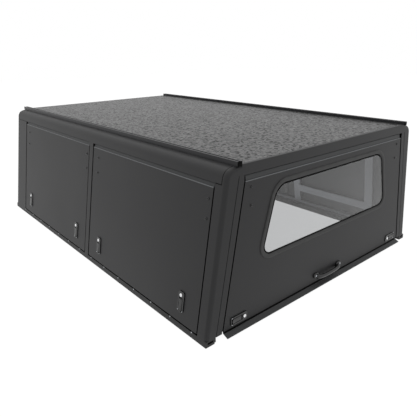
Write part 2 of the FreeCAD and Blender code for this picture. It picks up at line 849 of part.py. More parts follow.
def flap():
    """The flap over the joint with the tailgate, on a leg that runs under the frame."""
    body = new_body("hatch_flap")
    half = hatch_half(dim.hatch_low) - dim.flap_inset
    thick = dim.flap_thick
    seat, tip = rear + dim.skin_deep + dim.skin_thick, rear - dim.flap_reach
    inner = seat + dim.flap_seat
    add(body, "YZ", -half, 2 * half, [[
        (inner, dim.hatch_low), (inner, dim.hatch_low - thick), (seat + thick, dim.hatch_low - thick),
        (seat + thick, dim.flap_high - thick), (tip, dim.flap_low), (tip, dim.flap_low + thick),
        (seat, dim.flap_high), (seat, dim.hatch_low)]])


def pull_handle():
    """A bow handle on two feet."""
    body = new_body("pull_handle")
    level = dim.handle_up
    foot = dim.handle_foot / 2
    plate = rear + dim.skin_deep - dim.foot_thick
    for side in (-1, 1):
        centre = side * dim.handle_half
        add(body, "XZ", plate, dim.foot_thick, [
            rectangle(centre - foot, centre + foot, level - foot / 2, level + foot / 2)])
    reach = rear - dim.handle_reach + dim.handle_radius
    seat = plate + dim.foot_thick / 2
    leg = plate - dim.handle_leg
    end, bend = dim.handle_half, dim.handle_half - dim.handle_bend
    points = [(-end, seat), (-end, leg), (-bend, reach), (bend, reach), (end, leg), (end, seat)]
    path = body.newObject("Sketcher::SketchObject", "handle_path")
    path.AttachmentSupport = (origin_plane(body, "XY"), [""])
    path.MapMode = "FlatFace"
    path.setExpression("AttachmentOffset.Base.z", level.text)
    last = len(points) - 1
    for index in range(last):
        ends = [Vector(x.number, y.number, 0) for x, y in points[index:index + 2]]
        path.addGeometry(Part.LineSegment(*ends))
        fix_point(path, index, points[index])
    for index in range(last - 1):
        path.addConstraint(Sketcher.Constraint("Coincident", index, 2, index + 1, 1))
    fix_point(path, last - 1, points[last], 2)
    pipe = body.newObject("PartDesign::AdditivePipe", "handle_bow")
    pipe.Profile = new_sketch(body, "XZ", seat, circles=[((-end, level), dim.handle_radius)])
    pipe.Spine = (path, [f"Edge{index}" for index in range(1, last + 1)])
    pipe.Transition = "Right corner"


def turn_to_rear(body):
    """Put a latch drawn as on a door onto the hatch's left side, lever end outwards."""
    x_axis, y_axis, z_axis = Z_AXIS, X_AXIS, Y_AXIS
    base = Vector(-hatch_latch_half.number, rear.number, dim.hatch_latch_up.number)
    body.Placement = Placement(base, Rotation(x_axis, y_axis, z_axis, "ZXY"))


def hatch_latches():
    """Two housings, left and right, with the key cylinders towards the middle."""
    zero = size(0)
    left = new_body("hatch_latch_left")
    latch_housing(left, zero, zero)
    turn_to_rear(left)
    mirror_right(left)
    lever = latch_lever("lever_hatch_left", zero, zero)
    turn_to_rear(lever)
    mirror_right(lever)


def check_and_write():
    doc.recompute()
    for item in doc.Objects:
        if "Invalid" in item.State or "Error" in item.State:
            raise ValueError(f"{item.Label} failed: {item.State}")
    os.makedirs("parts", exist_ok=True)
    for item in subparts:
        shape = item.Shape
        if shape.isNull() or not shape.isValid() or not shape.Solids:
            raise ValueError(f"{item.Label} has no valid solid")
        shape.exportStep(f"parts/{item.Label}.step")


roof_panel()
roof_rail()
side_header()
cross_header("header_rear", True)
cross_header("header_front", False)
rear_posts()
front_posts()
mullions()
sills()
base_seals()
front_wall()
side_doors()
hatch()
check_and_write()
print("hinge axis of the side doors", side_hinge_half.number, side_hinge_high.number)
print("hinge axis of the hatch", (rear + dim.axis_deep).number, rear_hinge_high.number)
print(len(subparts), "sub-parts")
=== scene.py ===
import json
import math

import bmesh
import bpy
import numpy as np
from bpy.props import FloatProperty, FloatVectorProperty, PointerProperty
from mathutils import Matrix, Vector

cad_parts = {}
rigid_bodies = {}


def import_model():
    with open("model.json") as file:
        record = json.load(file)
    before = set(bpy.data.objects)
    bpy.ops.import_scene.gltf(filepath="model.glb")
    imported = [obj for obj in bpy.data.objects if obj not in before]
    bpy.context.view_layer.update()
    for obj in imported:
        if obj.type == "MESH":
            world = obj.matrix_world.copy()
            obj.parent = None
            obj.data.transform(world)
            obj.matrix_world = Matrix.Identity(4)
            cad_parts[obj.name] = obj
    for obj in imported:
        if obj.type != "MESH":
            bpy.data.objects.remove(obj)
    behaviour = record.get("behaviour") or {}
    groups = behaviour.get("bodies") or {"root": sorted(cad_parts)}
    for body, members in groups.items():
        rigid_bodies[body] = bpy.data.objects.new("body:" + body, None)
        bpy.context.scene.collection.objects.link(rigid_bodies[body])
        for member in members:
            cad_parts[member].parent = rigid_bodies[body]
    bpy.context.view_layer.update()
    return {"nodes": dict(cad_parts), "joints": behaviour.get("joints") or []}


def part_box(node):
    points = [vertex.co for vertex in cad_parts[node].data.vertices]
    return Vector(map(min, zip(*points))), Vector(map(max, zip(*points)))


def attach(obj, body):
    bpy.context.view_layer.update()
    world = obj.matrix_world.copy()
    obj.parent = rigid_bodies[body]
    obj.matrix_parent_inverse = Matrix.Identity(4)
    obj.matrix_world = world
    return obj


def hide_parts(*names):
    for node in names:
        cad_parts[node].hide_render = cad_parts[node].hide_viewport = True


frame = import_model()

bl_info = {
    "name": "Pickup canopy looks",
    "version": (1, 0, 0),
    "blender": (4, 5, 0),
    "location": "View3D > Sidebar > Canopy",
    "description": "Finishes, seals, fasteners, locks and the studio of a pickup truck canopy",
    "category": "Object",
}

# Places are in metres in the frame of the solids: X right, Y forward to the cab, Z up.
CAB_AXIS = np.array([0.0, 1.0, 0.0])
UP = np.array([0.0, 0.0, 1.0])
SIDES = (("left", -1.0), ("right", 1.0))
PLACES = ("rear", "front")
WHITE = (1.0, 1.0, 1.0, 1.0)

# depth from a skin's outer face past which a face is an inner one, and depth of the middle
# of the doors' frames from the wall's face
SKIN_THICK, FRAME_MIDDLE = 0.0022, 0.020
# an edge face is one whose normal's part along the wall's own normal lies between these
EDGE_FACING = (-0.5, 0.5)
# depths between which the gaps' edges are painted dark as their shade, and the gaps' least
# distance from the rear and front faces and from the side faces
GAP_DEPTHS = (0.0006, 0.012)
GAP_FROM_REAR, GAP_FROM_SIDE = 0.020, 0.050
# specular level of the powder coat and of its dark edges: painted shade in the gaps, sealant in the
# corners' joints
COAT_GLOSS, DARK_EDGE_GLOSS = 0.34, 0.04
# lines that a die leaves run along Y, where their pattern is drawn out fifty times
DIE_STRETCH = (1.0, 0.02, 1.0)
# how far the rim of a screw's head lies under the face that it sits on
HEAD_UNDER = 0.0002


def linear(code):
    """The linear colour of an sRGB hex code."""
    parts = [int(code[n:n + 2], 16) / 255 for n in (1, 3, 5)]
    return tuple(c / 12.92 if c <= 0.04045 else ((c + 0.055) / 1.055) ** 2.4 for c in parts)


def colour_prop(name, code, text):
    """A colour that the user can change, given as an sRGB hex code."""
    return FloatVectorProperty(
        name=name, description=text, subtype="COLOR", size=3, min=0, max=1, default=linear(code))


def length_prop(name, value, text):
    """A length that the user can change, in metres."""
    return FloatProperty(name=name, description=text, default=value, min=0, unit="LENGTH", precision=4)


class BodySizes(bpy.types.PropertyGroup):
    """Places and sizes of the canopy's body that the finishes and the fasteners follow"""
    lean: FloatProperty(
        name="Wall lean", description="How far the side walls lean inwards",
        default=math.radians(9.69), subtype="ANGLE")
    base_half: length_prop("Half width", 0.750, "Half width of the walls at the bed rail")
    rear_face: FloatProperty(
        name="Rear face", description="Place of the rear face along Y",
        default=-1.038, unit="LENGTH", precision=4)
    skin_deep: length_prop("Skin depth", 0.001, "How far the door skins lie inside the wall's face")
    length: length_prop("Length", 2.110, "Length from the rear face to the front face")
    header_low: length_prop("Side header", 0.6122, "Height of the side headers' lower edge")
    rear_header_low: length_prop("Rear header", 0.6342, "Height of the rear header's lower edge")
    block: length_prop("Corner block", 0.022, "Length of the corner blocks from the end faces")
    joint: length_prop("Joint", 0.0032, "Width of the sealant in the corners' joints")
    rear_leg: length_prop("Rear post", 0.054, "Length of the rear posts along the side")
    front_leg: length_prop("Front post", 0.170, "Length of the front posts along the side")


class FinishColours(bpy.types.PropertyGroup):
    """The colour of each finish"""
    coat: colour_prop("Powder coat", "#232324", "Charcoal powder coat of the outer panels")
    roof: colour_prop("Roof coat", "#2d2d2d", "Textured coating of the roof")
    inside: colour_prop("Inside metal", "#b6b9be", "Clear-coated aluminium of the door frames inside")
    inner_skin: colour_prop("Inner skin", "#454647", "Primer on the inner face of the skins")
    # painted light: this is lighter than the coat, though the hinge profiles and the flap are the same
    # black; it paints the sheen on the hinge rolls and lifts the flap out of the canopy's shade
    hinge: colour_prop("Hinge profile", "#3a3b3c", "Black anodised hinge extrusions and flap")
    # the lip's pale colour paints the highlight along the skins' upper edges
    lip: colour_prop("Hinge lip", "#6a6c6e", "Bright anodised lip along a skin's upper edge")
    # near black of the sealant in the corners' joints, also put on the gap edges of doors and hatch as
    # painted shade
    seal: colour_prop("Seal", "#060606", "Black rubber edging and sealant")
    rail: colour_prop("Rail", "#29292b", "Black anodised roof rail")
    lock: colour_prop("Latch", "#161617", "Black coating of the latches")
    chrome: colour_prop("Chrome", "#f0f1f2", "Plated key cylinders")
    zinc: colour_prop("Zinc", "#b9bcc0", "Zinc-plated rivets")
    rubber: colour_prop("Rubber", "#383838", "Extruded black rubber")
    # near black, darker than the rubber: on the locking strip beside the glass it also paints the shade at
    # the glass's edge, and over the flap it paints the shade of the gap; the rail plugs are black rubber in
    # it
    strip: colour_prop("Locking strip", "#050505", "Deep black rubber beside the glass")
    glass: colour_prop("Glass", "#b7b8b9", "Tint of the window glass")
    floor: colour_prop("Floor", "#f2f2f2", "Pale studio floor")


class SealSizes(bpy.types.PropertyGroup):
    """The outline of the hatch window that the seal follows"""
    low: length_prop("Window bottom", 0.263, "Height of the window outline's lower edge")
    high: length_prop("Window top", 0.583, "Height of the window outline's upper edge")
    half_low: length_prop("Window half width, bottom", 0.4856, "Half width at the lower edge")
    half_high: length_prop("Window half width, top", 0.3952, "Half width at the upper edge")
    round_low: length_prop("Lower corner radius", 0.060, "Radius of the lower corners")
    round_high: length_prop("Upper corner radius", 0.090, "Radius of the upper corners")


class FastenerSizes(bpy.types.PropertyGroup):
    """Screws and rivets"""
    head: length_prop("Head diameter", 0.011, "Diameter of a button head")
    head_high: length_prop("Head height", 0.0033, "Height of a button head")
    socket: length_prop("Socket width", 0.004, "Width across the flats of the hexagonal socket")
    rivet_pitch: length_prop("Rivet pitch", 0.142, "Distance between the rivets along the sill")
    rivet_start: length_prop("First rivet", 0.088, "Distance of the first rivet from the rear face")


class StudioSettings(bpy.types.PropertyGroup):
    """The light and the floor"""
    ambient: FloatProperty(
        name="Ambient", description="Strength of the surroundings for diffuse light", default=0.62, min=0)
    top_power: FloatProperty(
        name="Top lamp", description="Power of the lamp over the roof", default=34, min=0, unit="POWER")
    inner_power: FloatProperty(
        name="Inner lamp", description="Power of the light that comes up through the open bottom",
        default=5.8, min=0, unit="POWER")
    floor_glow: FloatProperty(
        name="Floor white", description="Strength of the floor's own white, where 1 is plain white",
        default=1.08, min=0)
    floor_share: FloatProperty(
        name="Floor glow", description="Share of the floor's tone that no shadow takes away",
        default=0.9, min=0, max=1)


def look():
    """The colours of the finishes."""
    return bpy.context.scene.canopy_finish


# Materials


def add_node(tree, kind, inputs=None, stops=(), **settings):
    """One node with its settings, its inputs and, on a ramp, its colour stops.

    An input is a value or the socket that feeds it. A stop is a place and a colour.
    """
    node = tree.nodes.new(kind)
    for name, value in settings.items():
        setattr(node, name, value)
    for name, value in (inputs or {}).items():
        if isinstance(value, bpy.types.NodeSocket):
            tree.links.new(value, node.inputs[name])
        else:
            node.inputs[name].default_value = value
    for number, (position, colour) in enumerate(stops):
        node.color_ramp.elements[number].position = position
        node.color_ramp.elements[number].color = rgba(colour)
    return node


def rgba(colour):
    """The colour as an opaque one."""
    return (*colour, 1.0)


def shade(colour, factor):
    """The colour made lighter or darker."""
    return tuple(min(1.0, c * factor) for c in colour)


def start_material(name):
    """An empty material with its tree and its Object coordinates."""
    material = bpy.data.materials.get(name)
    if material:
        bpy.data.materials.remove(material)
    material = bpy.data.materials.new(name)
    material.use_nodes = True
    tree = material.node_tree
    tree.nodes.clear()
    return material, tree, add_node(tree, "ShaderNodeTexCoord").outputs["Object"]


def close_material(material, tree, inputs):
    """Put the shader on the material's surface and hand the material over."""
    shader = add_node(tree, "ShaderNodeBsdfPrincipled", inputs)
    add_node(tree, "ShaderNodeOutputMaterial", {"Surface": shader.outputs["BSDF"]})
    return material


def clouded(tree, place, grain, tones=(), *colours, detail=3.0, ends=(0.3, 0.7)):
    """Patches about one grain wide, in metres, and each colour as it varies over them.

    A colour goes from its first tone to its second while the patches' noise goes from the
    first end to the second.
    """
    patches = add_node(tree, "ShaderNodeTexNoise", {
        "Vector": place, "Scale": 1 / grain, "Detail": detail}).outputs["Fac"]
    varied = [
        add_node(tree, "ShaderNodeValToRGB", {"Fac": patches},
                 [(end, shade(colour, tone)) for end, tone in zip(ends, tones)]).outputs["Color"]
        for colour in colours]
    return patches, *varied


def patterned(material, tree, patches, rough, inputs, relief=None):
    """Close a material whose roughness follows patches and whose relief follows a height.

    The relief is the height's socket, the depth in metres and the strength.
    """
    roughness = add_node(tree, "ShaderNodeMapRange", {
        "Value": patches, "To Min": rough[0], "To Max": rough[1]})
    inputs = {**inputs, "Roughness": roughness.outputs["Result"]}
    if relief:
        height, deep, strength = relief
        raised = add_node(tree, "ShaderNodeBump", {
            "Height": height, "Distance": deep, "Strength": strength})
        inputs["Normal"] = raised.outputs["Normal"]
    return close_material(material, tree, inputs)


def outwards(tree, axes):
    """How far a vector reaches along the normal of the leaning wall on its own side.

    That is its X without the sign times the cosine of the lean, plus its Z times the sine.
    """
    lean = bpy.context.scene.canopy_body.lean
    across = add_node(tree, "ShaderNodeMath", {0: axes["X"]}, operation="ABSOLUTE").outputs[0]
    level = add_node(tree, "ShaderNodeMath", {0: across, 1: math.cos(lean)}, operation="MULTIPLY")
    return add_node(tree, "ShaderNodeMath", {0: axes["Z"], 1: math.sin(lean), 2: level.outputs[0]},
                    operation="MULTIPLY_ADD").outputs[0]


def wall_depths(tree, place):
    """How deep a point lies inside the leaning side face and the rear face, and its height."""
    body = bpy.context.scene.canopy_body
    axes = add_node(tree, "ShaderNodeSeparateXYZ", {"Vector": place}).outputs
    face = body.base_half * math.cos(body.lean)
    side = add_node(tree, "ShaderNodeMath", {0: face, 1: outwards(tree, axes)}, operation="SUBTRACT")
    rear = add_node(tree, "ShaderNodeMath", {0: axes["Y"], 1: body.rear_face}, operation="SUBTRACT")
    return side.outputs[0], rear.outputs[0], axes["Z"]


def within(tree, *limits):
    """1 where each value lies between its two ends, else 0.

    A limit is a value's socket, its low end and its high end. An end of None is open.
    """
    result = None
    for value, low, high in limits:
        if low is None:
            part = add_node(tree, "ShaderNodeMath", {0: value, 1: high}, operation="LESS_THAN")
        elif high is None:
            part = add_node(tree, "ShaderNodeMath", {0: value, 1: low}, operation="GREATER_THAN")
        else:
            middle, half = (low + high) / 2, (high - low) / 2
            part = add_node(tree, "ShaderNodeMath", {0: value, 1: middle, 2: half}, operation="COMPARE")
        if result is not None:
            part = add_node(tree, "ShaderNodeMath", {0: result.outputs[0], 1: part.outputs[0]},
                            operation="MULTIPLY")
        result = part
    return result.outputs[0]


def any_of(tree, *factors):
    """1 where any of the factors is 1, else 0: the largest of them."""
    result = factors[0]
    for factor in factors[1:]:
        result = add_node(tree, "ShaderNodeMath", {0: result, 1: factor}, operation="MAXIMUM").outputs[0]
    return result


def inside_skin(tree, place):
    """1 on the inner faces of a door's skin, else 0."""
    side, _, _ = wall_depths(tree, place)
    return within(tree, (side, bpy.context.scene.canopy_body.skin_deep + SKIN_THICK, None))


def inside_frame(tree, place):
    """1 on the inner half of a side door's frame, else 0."""
    side, _, _ = wall_depths(tree, place)
    return within(tree, (side, FRAME_MIDDLE, None))


def inside_hatch(tree, place):
    """1 on the faces of the hatch that look into the canopy, else 0."""
    _, rear, _ = wall_depths(tree, place)
    return within(tree, (rear, bpy.context.scene.canopy_body.skin_deep + SKIN_THICK, None))


def gap_shade_and_joint_sealant(tree, place):
    """1 on the edge faces in the gaps of doors and hatch, which get painted shade, and in the corners'
    joints, which are sealant.

    The gaps and the joints are boxes on the walls' depths and the height.
    """
    body = bpy.context.scene.canopy_body
    side, rear, height = wall_depths(tree, place)
    normal = add_node(tree, "ShaderNodeTexCoord").outputs["Normal"]
    facing = add_node(tree, "ShaderNodeSeparateXYZ", {"Vector": normal}).outputs
    side_gap = within(
        tree, (outwards(tree, facing), *EDGE_FACING), (side, *GAP_DEPTHS),
        (rear, GAP_FROM_REAR, body.length - GAP_FROM_REAR), (height, None, body.header_low))
    rear_gap = within(
        tree, (facing["Y"], *EDGE_FACING), (rear, *GAP_DEPTHS),
        (side, GAP_FROM_SIDE, None), (height, None, body.rear_header_low))
    half = body.joint / 2
    upright = [
        within(tree, (rear, edge - half, edge + half), (height, body.header_low - half, None))
        for edge in (body.block, body.length - body.block)]
    level = [
        within(tree, (rear, *ends), (height, body.header_low - half, body.header_low + half))
        for ends in ((body.block, body.rear_leg),
                     (body.length - body.front_leg, body.length - body.block))]
    return any_of(tree, side_gap, rear_gap, *upright, *level)


def powder_coat(name, *colours, mask=None):
    """Polyester powder coat, sprayed and baked on aluminium.

    It melts into a fine orange peel, so the eye sees a satin sheen that breaks up slightly,
    with no clear reflection. The peel is 1.5 mm across and is drawn 4 mm across to show,
    and the tone drifts a little over 450 mm. The mask tells where a second colour lies. The
    edges in the gaps of doors and hatch are painted near black and dull as painted shade,
    and the corners' joints take the same dark as sealant.
    """
    material, tree, place = start_material(name)
    peel = clouded(tree, place, 0.004)[0]
    cloud, tone, *inside = clouded(tree, place, 0.45, (0.93, 1.07), *colours, detail=2.0)
    if mask:
        tone = add_node(tree, "ShaderNodeMix", {0: mask(tree, place), 6: tone, 7: inside[0]},
                        data_type="RGBA").outputs[2]
    # the gap edges take a painted shade, near black and dull, and the corners' joints the dark of sealant
    edges = gap_shade_and_joint_sealant(tree, place)
    tone = add_node(tree, "ShaderNodeMix", {0: edges, 6: tone, 7: rgba(look().seal)},
                    data_type="RGBA").outputs[2]
    gloss = add_node(tree, "ShaderNodeMath", {0: edges, 1: DARK_EDGE_GLOSS - COAT_GLOSS, 2: COAT_GLOSS},
                     operation="MULTIPLY_ADD").outputs[0]
    return patterned(material, tree, cloud, (0.46, 0.56), {
        "Base Color": tone, "IOR": 1.5, "Metallic": 0.0, "Specular IOR Level": gloss},
        (peel, 0.0004, 0.35))


def roof_coat():
    """Sprayed textured coating, cured on the roof sheet.

    Its pebbles scatter light and hold shade between them, so the roof is paler than the
    walls and grainy. They are 2 mm across and are drawn 9 mm across to show.
    """
    material, tree, place = start_material("sprayed textured roof coating")
    colour = look().roof
    pebble, grit, low, high = 0.009, 0.012, 0.32, 0.68
    pebbles = add_node(tree, "ShaderNodeTexVoronoi", {
        "Vector": place, "Scale": 1 / pebble, "Randomness": 1.0}, feature="F1").outputs
    each = add_node(tree, "ShaderNodeSeparateColor", {"Color": pebbles["Color"]}).outputs["Red"]
    grain = clouded(tree, place, grit, detail=6.0)[0]
    stipple = add_node(tree, "ShaderNodeMix", {0: 0.5, 2: grain, 3: each}).outputs[0]
    tone = add_node(tree, "ShaderNodeValToRGB", {"Fac": stipple},
                    ((low, shade(colour, 0.55)), (high, shade(colour, 1.45))))
    gloss = add_node(tree, "ShaderNodeMapRange", {
        "Value": stipple, "From Min": low, "From Max": high, "To Min": 0.02, "To Max": 0.42})
    relief = {"Distance": 0.0010, "Strength": 0.35}
    first = add_node(tree, "ShaderNodeBump", {"Height": pebbles["Distance"], **relief})
    second = add_node(tree, "ShaderNodeBump", {
        "Height": grain, "Normal": first.outputs["Normal"], **relief})
    return close_material(material, tree, {
        "Base Color": tone.outputs["Color"], "IOR": 1.5, "Roughness": 0.36,
        "Specular IOR Level": gloss.outputs["Result"], "Normal": second.outputs["Normal"]})


def anodised_rail():
    """Aluminium extruded and anodised black.

    The die leaves faint lines along the rail, and the oxide gives a deep satin black. The
    lines are 0.3 mm wide and are drawn 1.5 mm wide to show.
    """
    material, tree, place = start_material("black anodised extrusion")
    long = add_node(tree, "ShaderNodeMapping", {"Vector": place, "Scale": DIE_STRETCH}).outputs["Vector"]
    lines, tone = clouded(tree, long, 0.0015, (0.85, 1.15), look().rail, detail=2.0, ends=(0.35, 0.65))
    return patterned(material, tree, lines, (0.36, 0.48), {
        "Base Color": tone, "IOR": 1.5, "Metallic": 0.35, "Specular IOR Level": 0.4},
        (lines, 0.0001, 0.3))


def latch_coat():
    """Zinc alloy, die-cast and coated gloss black: a smooth skin with a soft highlight.

    The coat's ripple is about 3 mm across.
    """
    material, tree, place = start_material("black coated die-cast zinc")
    skin, tone = clouded(tree, place, 0.003, (0.9, 1.1), look().lock)
    return patterned(material, tree, skin, (0.16, 0.24), {
        "Base Color": tone, "IOR": 1.5, "Specular IOR Level": 0.5}, (skin, 0.0001, 0.2))


def chrome_plate():
    """Nickel and chrome plated on turned brass: bright, with hair-fine turning marks.

    The marks are 0.1 mm wide and are drawn 0.8 mm wide to show.
    """
    material, tree, place = start_material("polished chrome plate")
    marks, tone = clouded(tree, place, 0.0008, (0.92, 1.0), look().chrome, detail=2.0)
    return patterned(material, tree, marks, (0.06, 0.14), {"Base Color": tone, "Metallic": 1.0},
                     (marks, 0.00003, 0.15))


def zinc_plate():
    """Steel rivets plated with bright zinc: pale metal, clouded in spots 2 mm across."""
    material, tree, place = start_material("bright zinc-plated steel")
    cloud, tone = clouded(tree, place, 0.002, (0.85, 1.0), look().zinc)
    return patterned(material, tree, cloud, (0.28, 0.42), {"Base Color": tone, "Metallic": 1.0})


def lip_highlight_metal():
    """Aluminium extruded, satin-etched and clear anodised, whose pale colour paints the highlight along the
    skins' upper edges, with faint die lines.

    The lines are 0.3 mm wide and are drawn 2 mm wide to show.
    """
    material, tree, place = start_material("bright anodised aluminium")
    long = add_node(tree, "ShaderNodeMapping", {"Vector": place, "Scale": DIE_STRETCH}).outputs["Vector"]
    lines, tone = clouded(tree, long, 0.002, (0.88, 1.0), look().lip, detail=2.0, ends=(0.35, 0.65))
    return patterned(material, tree, lines, (0.40, 0.50), {"Base Color": tone, "Metallic": 0.6})


def extruded_rubber(name, colour, gloss):
    """EPDM rubber, extruded and cured: matt black with a faint bloom in patches.

    The patches are 50 mm across. The skin's grain is 0.3 mm across and is drawn 2 mm across
    to show.
    """
    material, tree, place = start_material(name)
    bloom, tone = clouded(tree, place, 0.05, (0.85, 1.25), colour)
    skin = clouded(tree, place, 0.002)[0]
    return patterned(material, tree, bloom, (0.55, 0.68), {
        "Base Color": tone, "IOR": 1.52, "Specular IOR Level": gloss}, (skin, 0.0002, 0.3))


def tinted_glass():
    """Toughened float glass, body-tinted grey: clear and flat, with a roller wave of 250 mm."""
    material, tree, place = start_material("grey-tinted toughened glass")
    wave = clouded(tree, place, 0.25, detail=1.0)[0]
    rolled = add_node(tree, "ShaderNodeBump", {"Height": wave, "Distance": 0.0002, "Strength": 0.05})
    return close_material(material, tree, {
        "Base Color": rgba(look().glass), "IOR": 1.45, "Specular IOR Level": 0.30, "Roughness": 0.0,
        "Transmission Weight": 1.0, "Normal": rolled.outputs["Normal"]})


def seen_directly(tree):
    """1 for rays from the camera, from gloss and through glass, which see the background."""
    path = add_node(tree, "ShaderNodeLightPath").outputs
    return any_of(tree, path["Is Camera Ray"], path["Is Glossy Ray"], path["Is Transmission Ray"])


def studio_floor():
    """Pale matt floor that keeps a soft shadow and meets the white background."""
    material, tree, place = start_material("pale matt studio floor")
    studio = bpy.context.scene.canopy_studio
    _, tone = clouded(tree, place, 1.5, (0.985, 1.0), look().floor, detail=2.0)
    matt = add_node(tree, "ShaderNodeBsdfDiffuse", {"Color": tone})
    glow = add_node(tree, "ShaderNodeEmission", {"Color": WHITE, "Strength": studio.floor_glow})
    part = add_node(tree, "ShaderNodeMath", {0: seen_directly(tree), 1: studio.floor_share},
                    operation="MULTIPLY")
    mix = add_node(tree, "ShaderNodeMixShader", {
        0: part.outputs[0], 1: matt.outputs[0], 2: glow.outputs[0]})
    add_node(tree, "ShaderNodeOutputMaterial", {"Surface": mix.outputs[0]})
    return material


# Shapes


def grid_faces(rows, columns, closed_rows, closed_columns):
    """Quads of a grid of points, joined end to end in the closed directions.

    A point's number is its row times the number of columns, plus its column, and a quad
    joins it to the next column's, the next row's and the one across.
    """
    row = np.arange(rows if closed_rows else rows - 1)[:, None]
    column = np.arange(columns if closed_columns else columns - 1)[None, :]
    after_row, after_column = (row + 1) % rows, (column + 1) % columns
    corners = [row * columns + column, row * columns + after_column,
               after_row * columns + after_column, after_row * columns + column]
    return np.stack([c.ravel() for c in np.broadcast_arrays(*corners)], axis=1)


def copies(points, faces, places):
    """The same shape at several places, each a 4 by 4 matrix.

    A point is turned by the matrix's three axes and then moved by its origin.
    """
    places = np.asarray(places)
    moved = np.einsum("mij,nj->mni", places[:, :3, :3], points) + places[:, None, :3, 3]
    steps = np.arange(len(places))[:, None, None] * len(points)
    return moved.reshape(-1, 3), (faces[None] + steps).reshape(-1, faces.shape[1])


def place_matrix(origin, across, up, out):
    """The matrix that puts a shape at an origin, with its three axes along the directions."""
    matrix = np.eye(4)
    matrix[:3, 0], matrix[:3, 1], matrix[:3, 2], matrix[:3, 3] = across, up, out, origin
    return matrix


def join(*shapes):
    """Several shapes as one list of points and one of faces."""
    points, faces, count = [], [], 0
    for shape_points, shape_faces in shapes:
        points.append(shape_points)
        faces.append(shape_faces + count)
        count += len(shape_points)
    return np.concatenate(points), np.concatenate(faces)


def make_piece(name, points, faces, material, body, slot, angle=35.0, replaces=()):
    """A closed mesh with merged seams and outward faces, riding on a body."""
    mesh = bpy.data.meshes.new(name)
    mesh.from_pydata(points.tolist(), [], faces.tolist())
    shape = bmesh.new()
    shape.from_mesh(mesh)
    bmesh.ops.remove_doubles(shape, verts=shape.verts, dist=1e-6)
    bmesh.ops.dissolve_degenerate(shape, edges=shape.edges, dist=1e-7)
    bmesh.ops.recalc_face_normals(shape, faces=shape.faces)
    shape.to_mesh(mesh)
    shape.free()
    mesh.shade_smooth()
    mesh.set_sharp_from_angle(angle=math.radians(angle))
    mesh.materials.append(material)
    piece = bpy.data.objects.new(name, mesh)
    bpy.context.scene.collection.objects.link(piece)
    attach(piece, body)
    if replaces:
        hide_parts(*replaces)
    return piece


def capped(rings):
    """Rings of points joined side by side, and each end closed about its ring's middle."""
    first, last = (np.broadcast_to(ring.mean(axis=0), ring.shape)[None] for ring in (rings[0], rings[-1]))
    rings = np.concatenate([first, rings, last])
    return rings.reshape(-1, 3), grid_faces(rings.shape[0], rings.shape[1], False, True)


def turned(profile, segments=24):
    """A lathe shape: each profile point's radius swept round the axis at its height."""
    radius, height = np.asarray(profile, float).T
    turn = np.linspace(0, 2 * math.pi, segments, endpoint=False)
    points = np.stack([
        radius[:, None] * np.cos(turn), radius[:, None] * np.sin(turn),
        np.broadcast_to(height[:, None], (len(radius), segments))], axis=2)
    return points.reshape(-1, 3), grid_faces(len(radius), segments, False, True)


def swept(path, normals, binormals, profile):
    """A closed profile carried along a path.

    Each point is the path's point, plus the profile's first value along the normal, plus
    its second along the binormal.
    """
    first, second = np.asarray(profile, float).T
    return (path[:, None] + normals[:, None] * first[None, :, None]
            + binormals[:, None] * second[None, :, None])


def flattened(value, power):
    """A sine or cosine whose size is raised to a power, with its sign kept.

    Below a power of one it stays longer near its ends, so that a circle turns squarer.
    """
    return np.sign(value) * np.abs(value) ** power


def rounded_outline(corners, radii, per_corner=10):
    """The points of a closed outline with round corners, and the normals that point inwards.

    At a corner the arc touches both sides: its centre lies on the bisector, at the radius
    divided by the sine of half the corner's angle.
    """
    corners = np.asarray(corners, float)
    points, normals = [], []
    for index, corner in enumerate(corners):
        before = corners[index - 1] - corner
        after = corners[(index + 1) % len(corners)] - corner
        before, after = before / np.linalg.norm(before), after / np.linalg.norm(after)
        half = math.acos(np.clip(before @ after, -1, 1)) / 2
        bisector = (before + after) / np.linalg.norm(before + after)
        centre = corner + bisector * radii[index] / math.sin(half)
        first = corner + before * radii[index] / math.tan(half) - centre
        last = corner + after * radii[index] / math.tan(half) - centre
        turn = math.atan2(first[0] * last[1] - first[1] * last[0], first @ last)
        angles = np.linspace(0, turn, per_corner)
        arm = np.stack([first[0] * np.cos(angles) - first[1] * np.sin(angles),
                        first[0] * np.sin(angles) + first[1] * np.cos(angles)], axis=1)
        points.append(centre + arm)
        normals.append(-arm / radii[index])
    return np.concatenate(points), np.concatenate(normals)


# The wall and the latches


def wall_frame(side):
    """The directions on a leaning wall: along it, up it and outwards.

    Up it leans inwards by the sine of the lean and rises by the cosine. Outwards is square
    to that, and along is square to both.
    """
    lean = bpy.context.scene.canopy_body.lean
    up = np.array([-side * math.sin(lean), 0.0, math.cos(lean)])
    out = np.array([side * math.cos(lean), 0.0, math.sin(lean)])
    return np.cross(up, out), up, out


def wall_point(side, along, up, deep=0.0):
    """A point on a leaning wall, by its place along, up and deep inside the wall."""
    body = bpy.context.scene.canopy_body
    _, rise, out = wall_frame(side)
    base = np.array([side * body.base_half, body.rear_face, 0.0])
    return base + CAB_AXIS * along + rise * up - out * deep


def latch_places():
    """Each lever, which is its body's name too, its carrier and the matrix of its pivot.

    The first column runs across the latch, the second from the lever's free end to its
    pivot, and the third out of the panel.
    """
    places = []
    for joint in frame["joints"]:
        lever = joint["child"]
        if not lever.startswith("lever_"):
            continue
        pivot = np.array(joint["pos_m"], float)
        side = -1.0 if "left" in lever else 1.0
        if "hatch" in lever:
            up, out = np.array([-side, 0.0, 0.0]), np.array([0.0, -1.0, 0.0])
        else:
            up, out = wall_frame(side)[1:]
        matrix = place_matrix(pivot, np.cross(up, out), up, out)
        places.append((lever, joint["parent"], matrix))
    return places


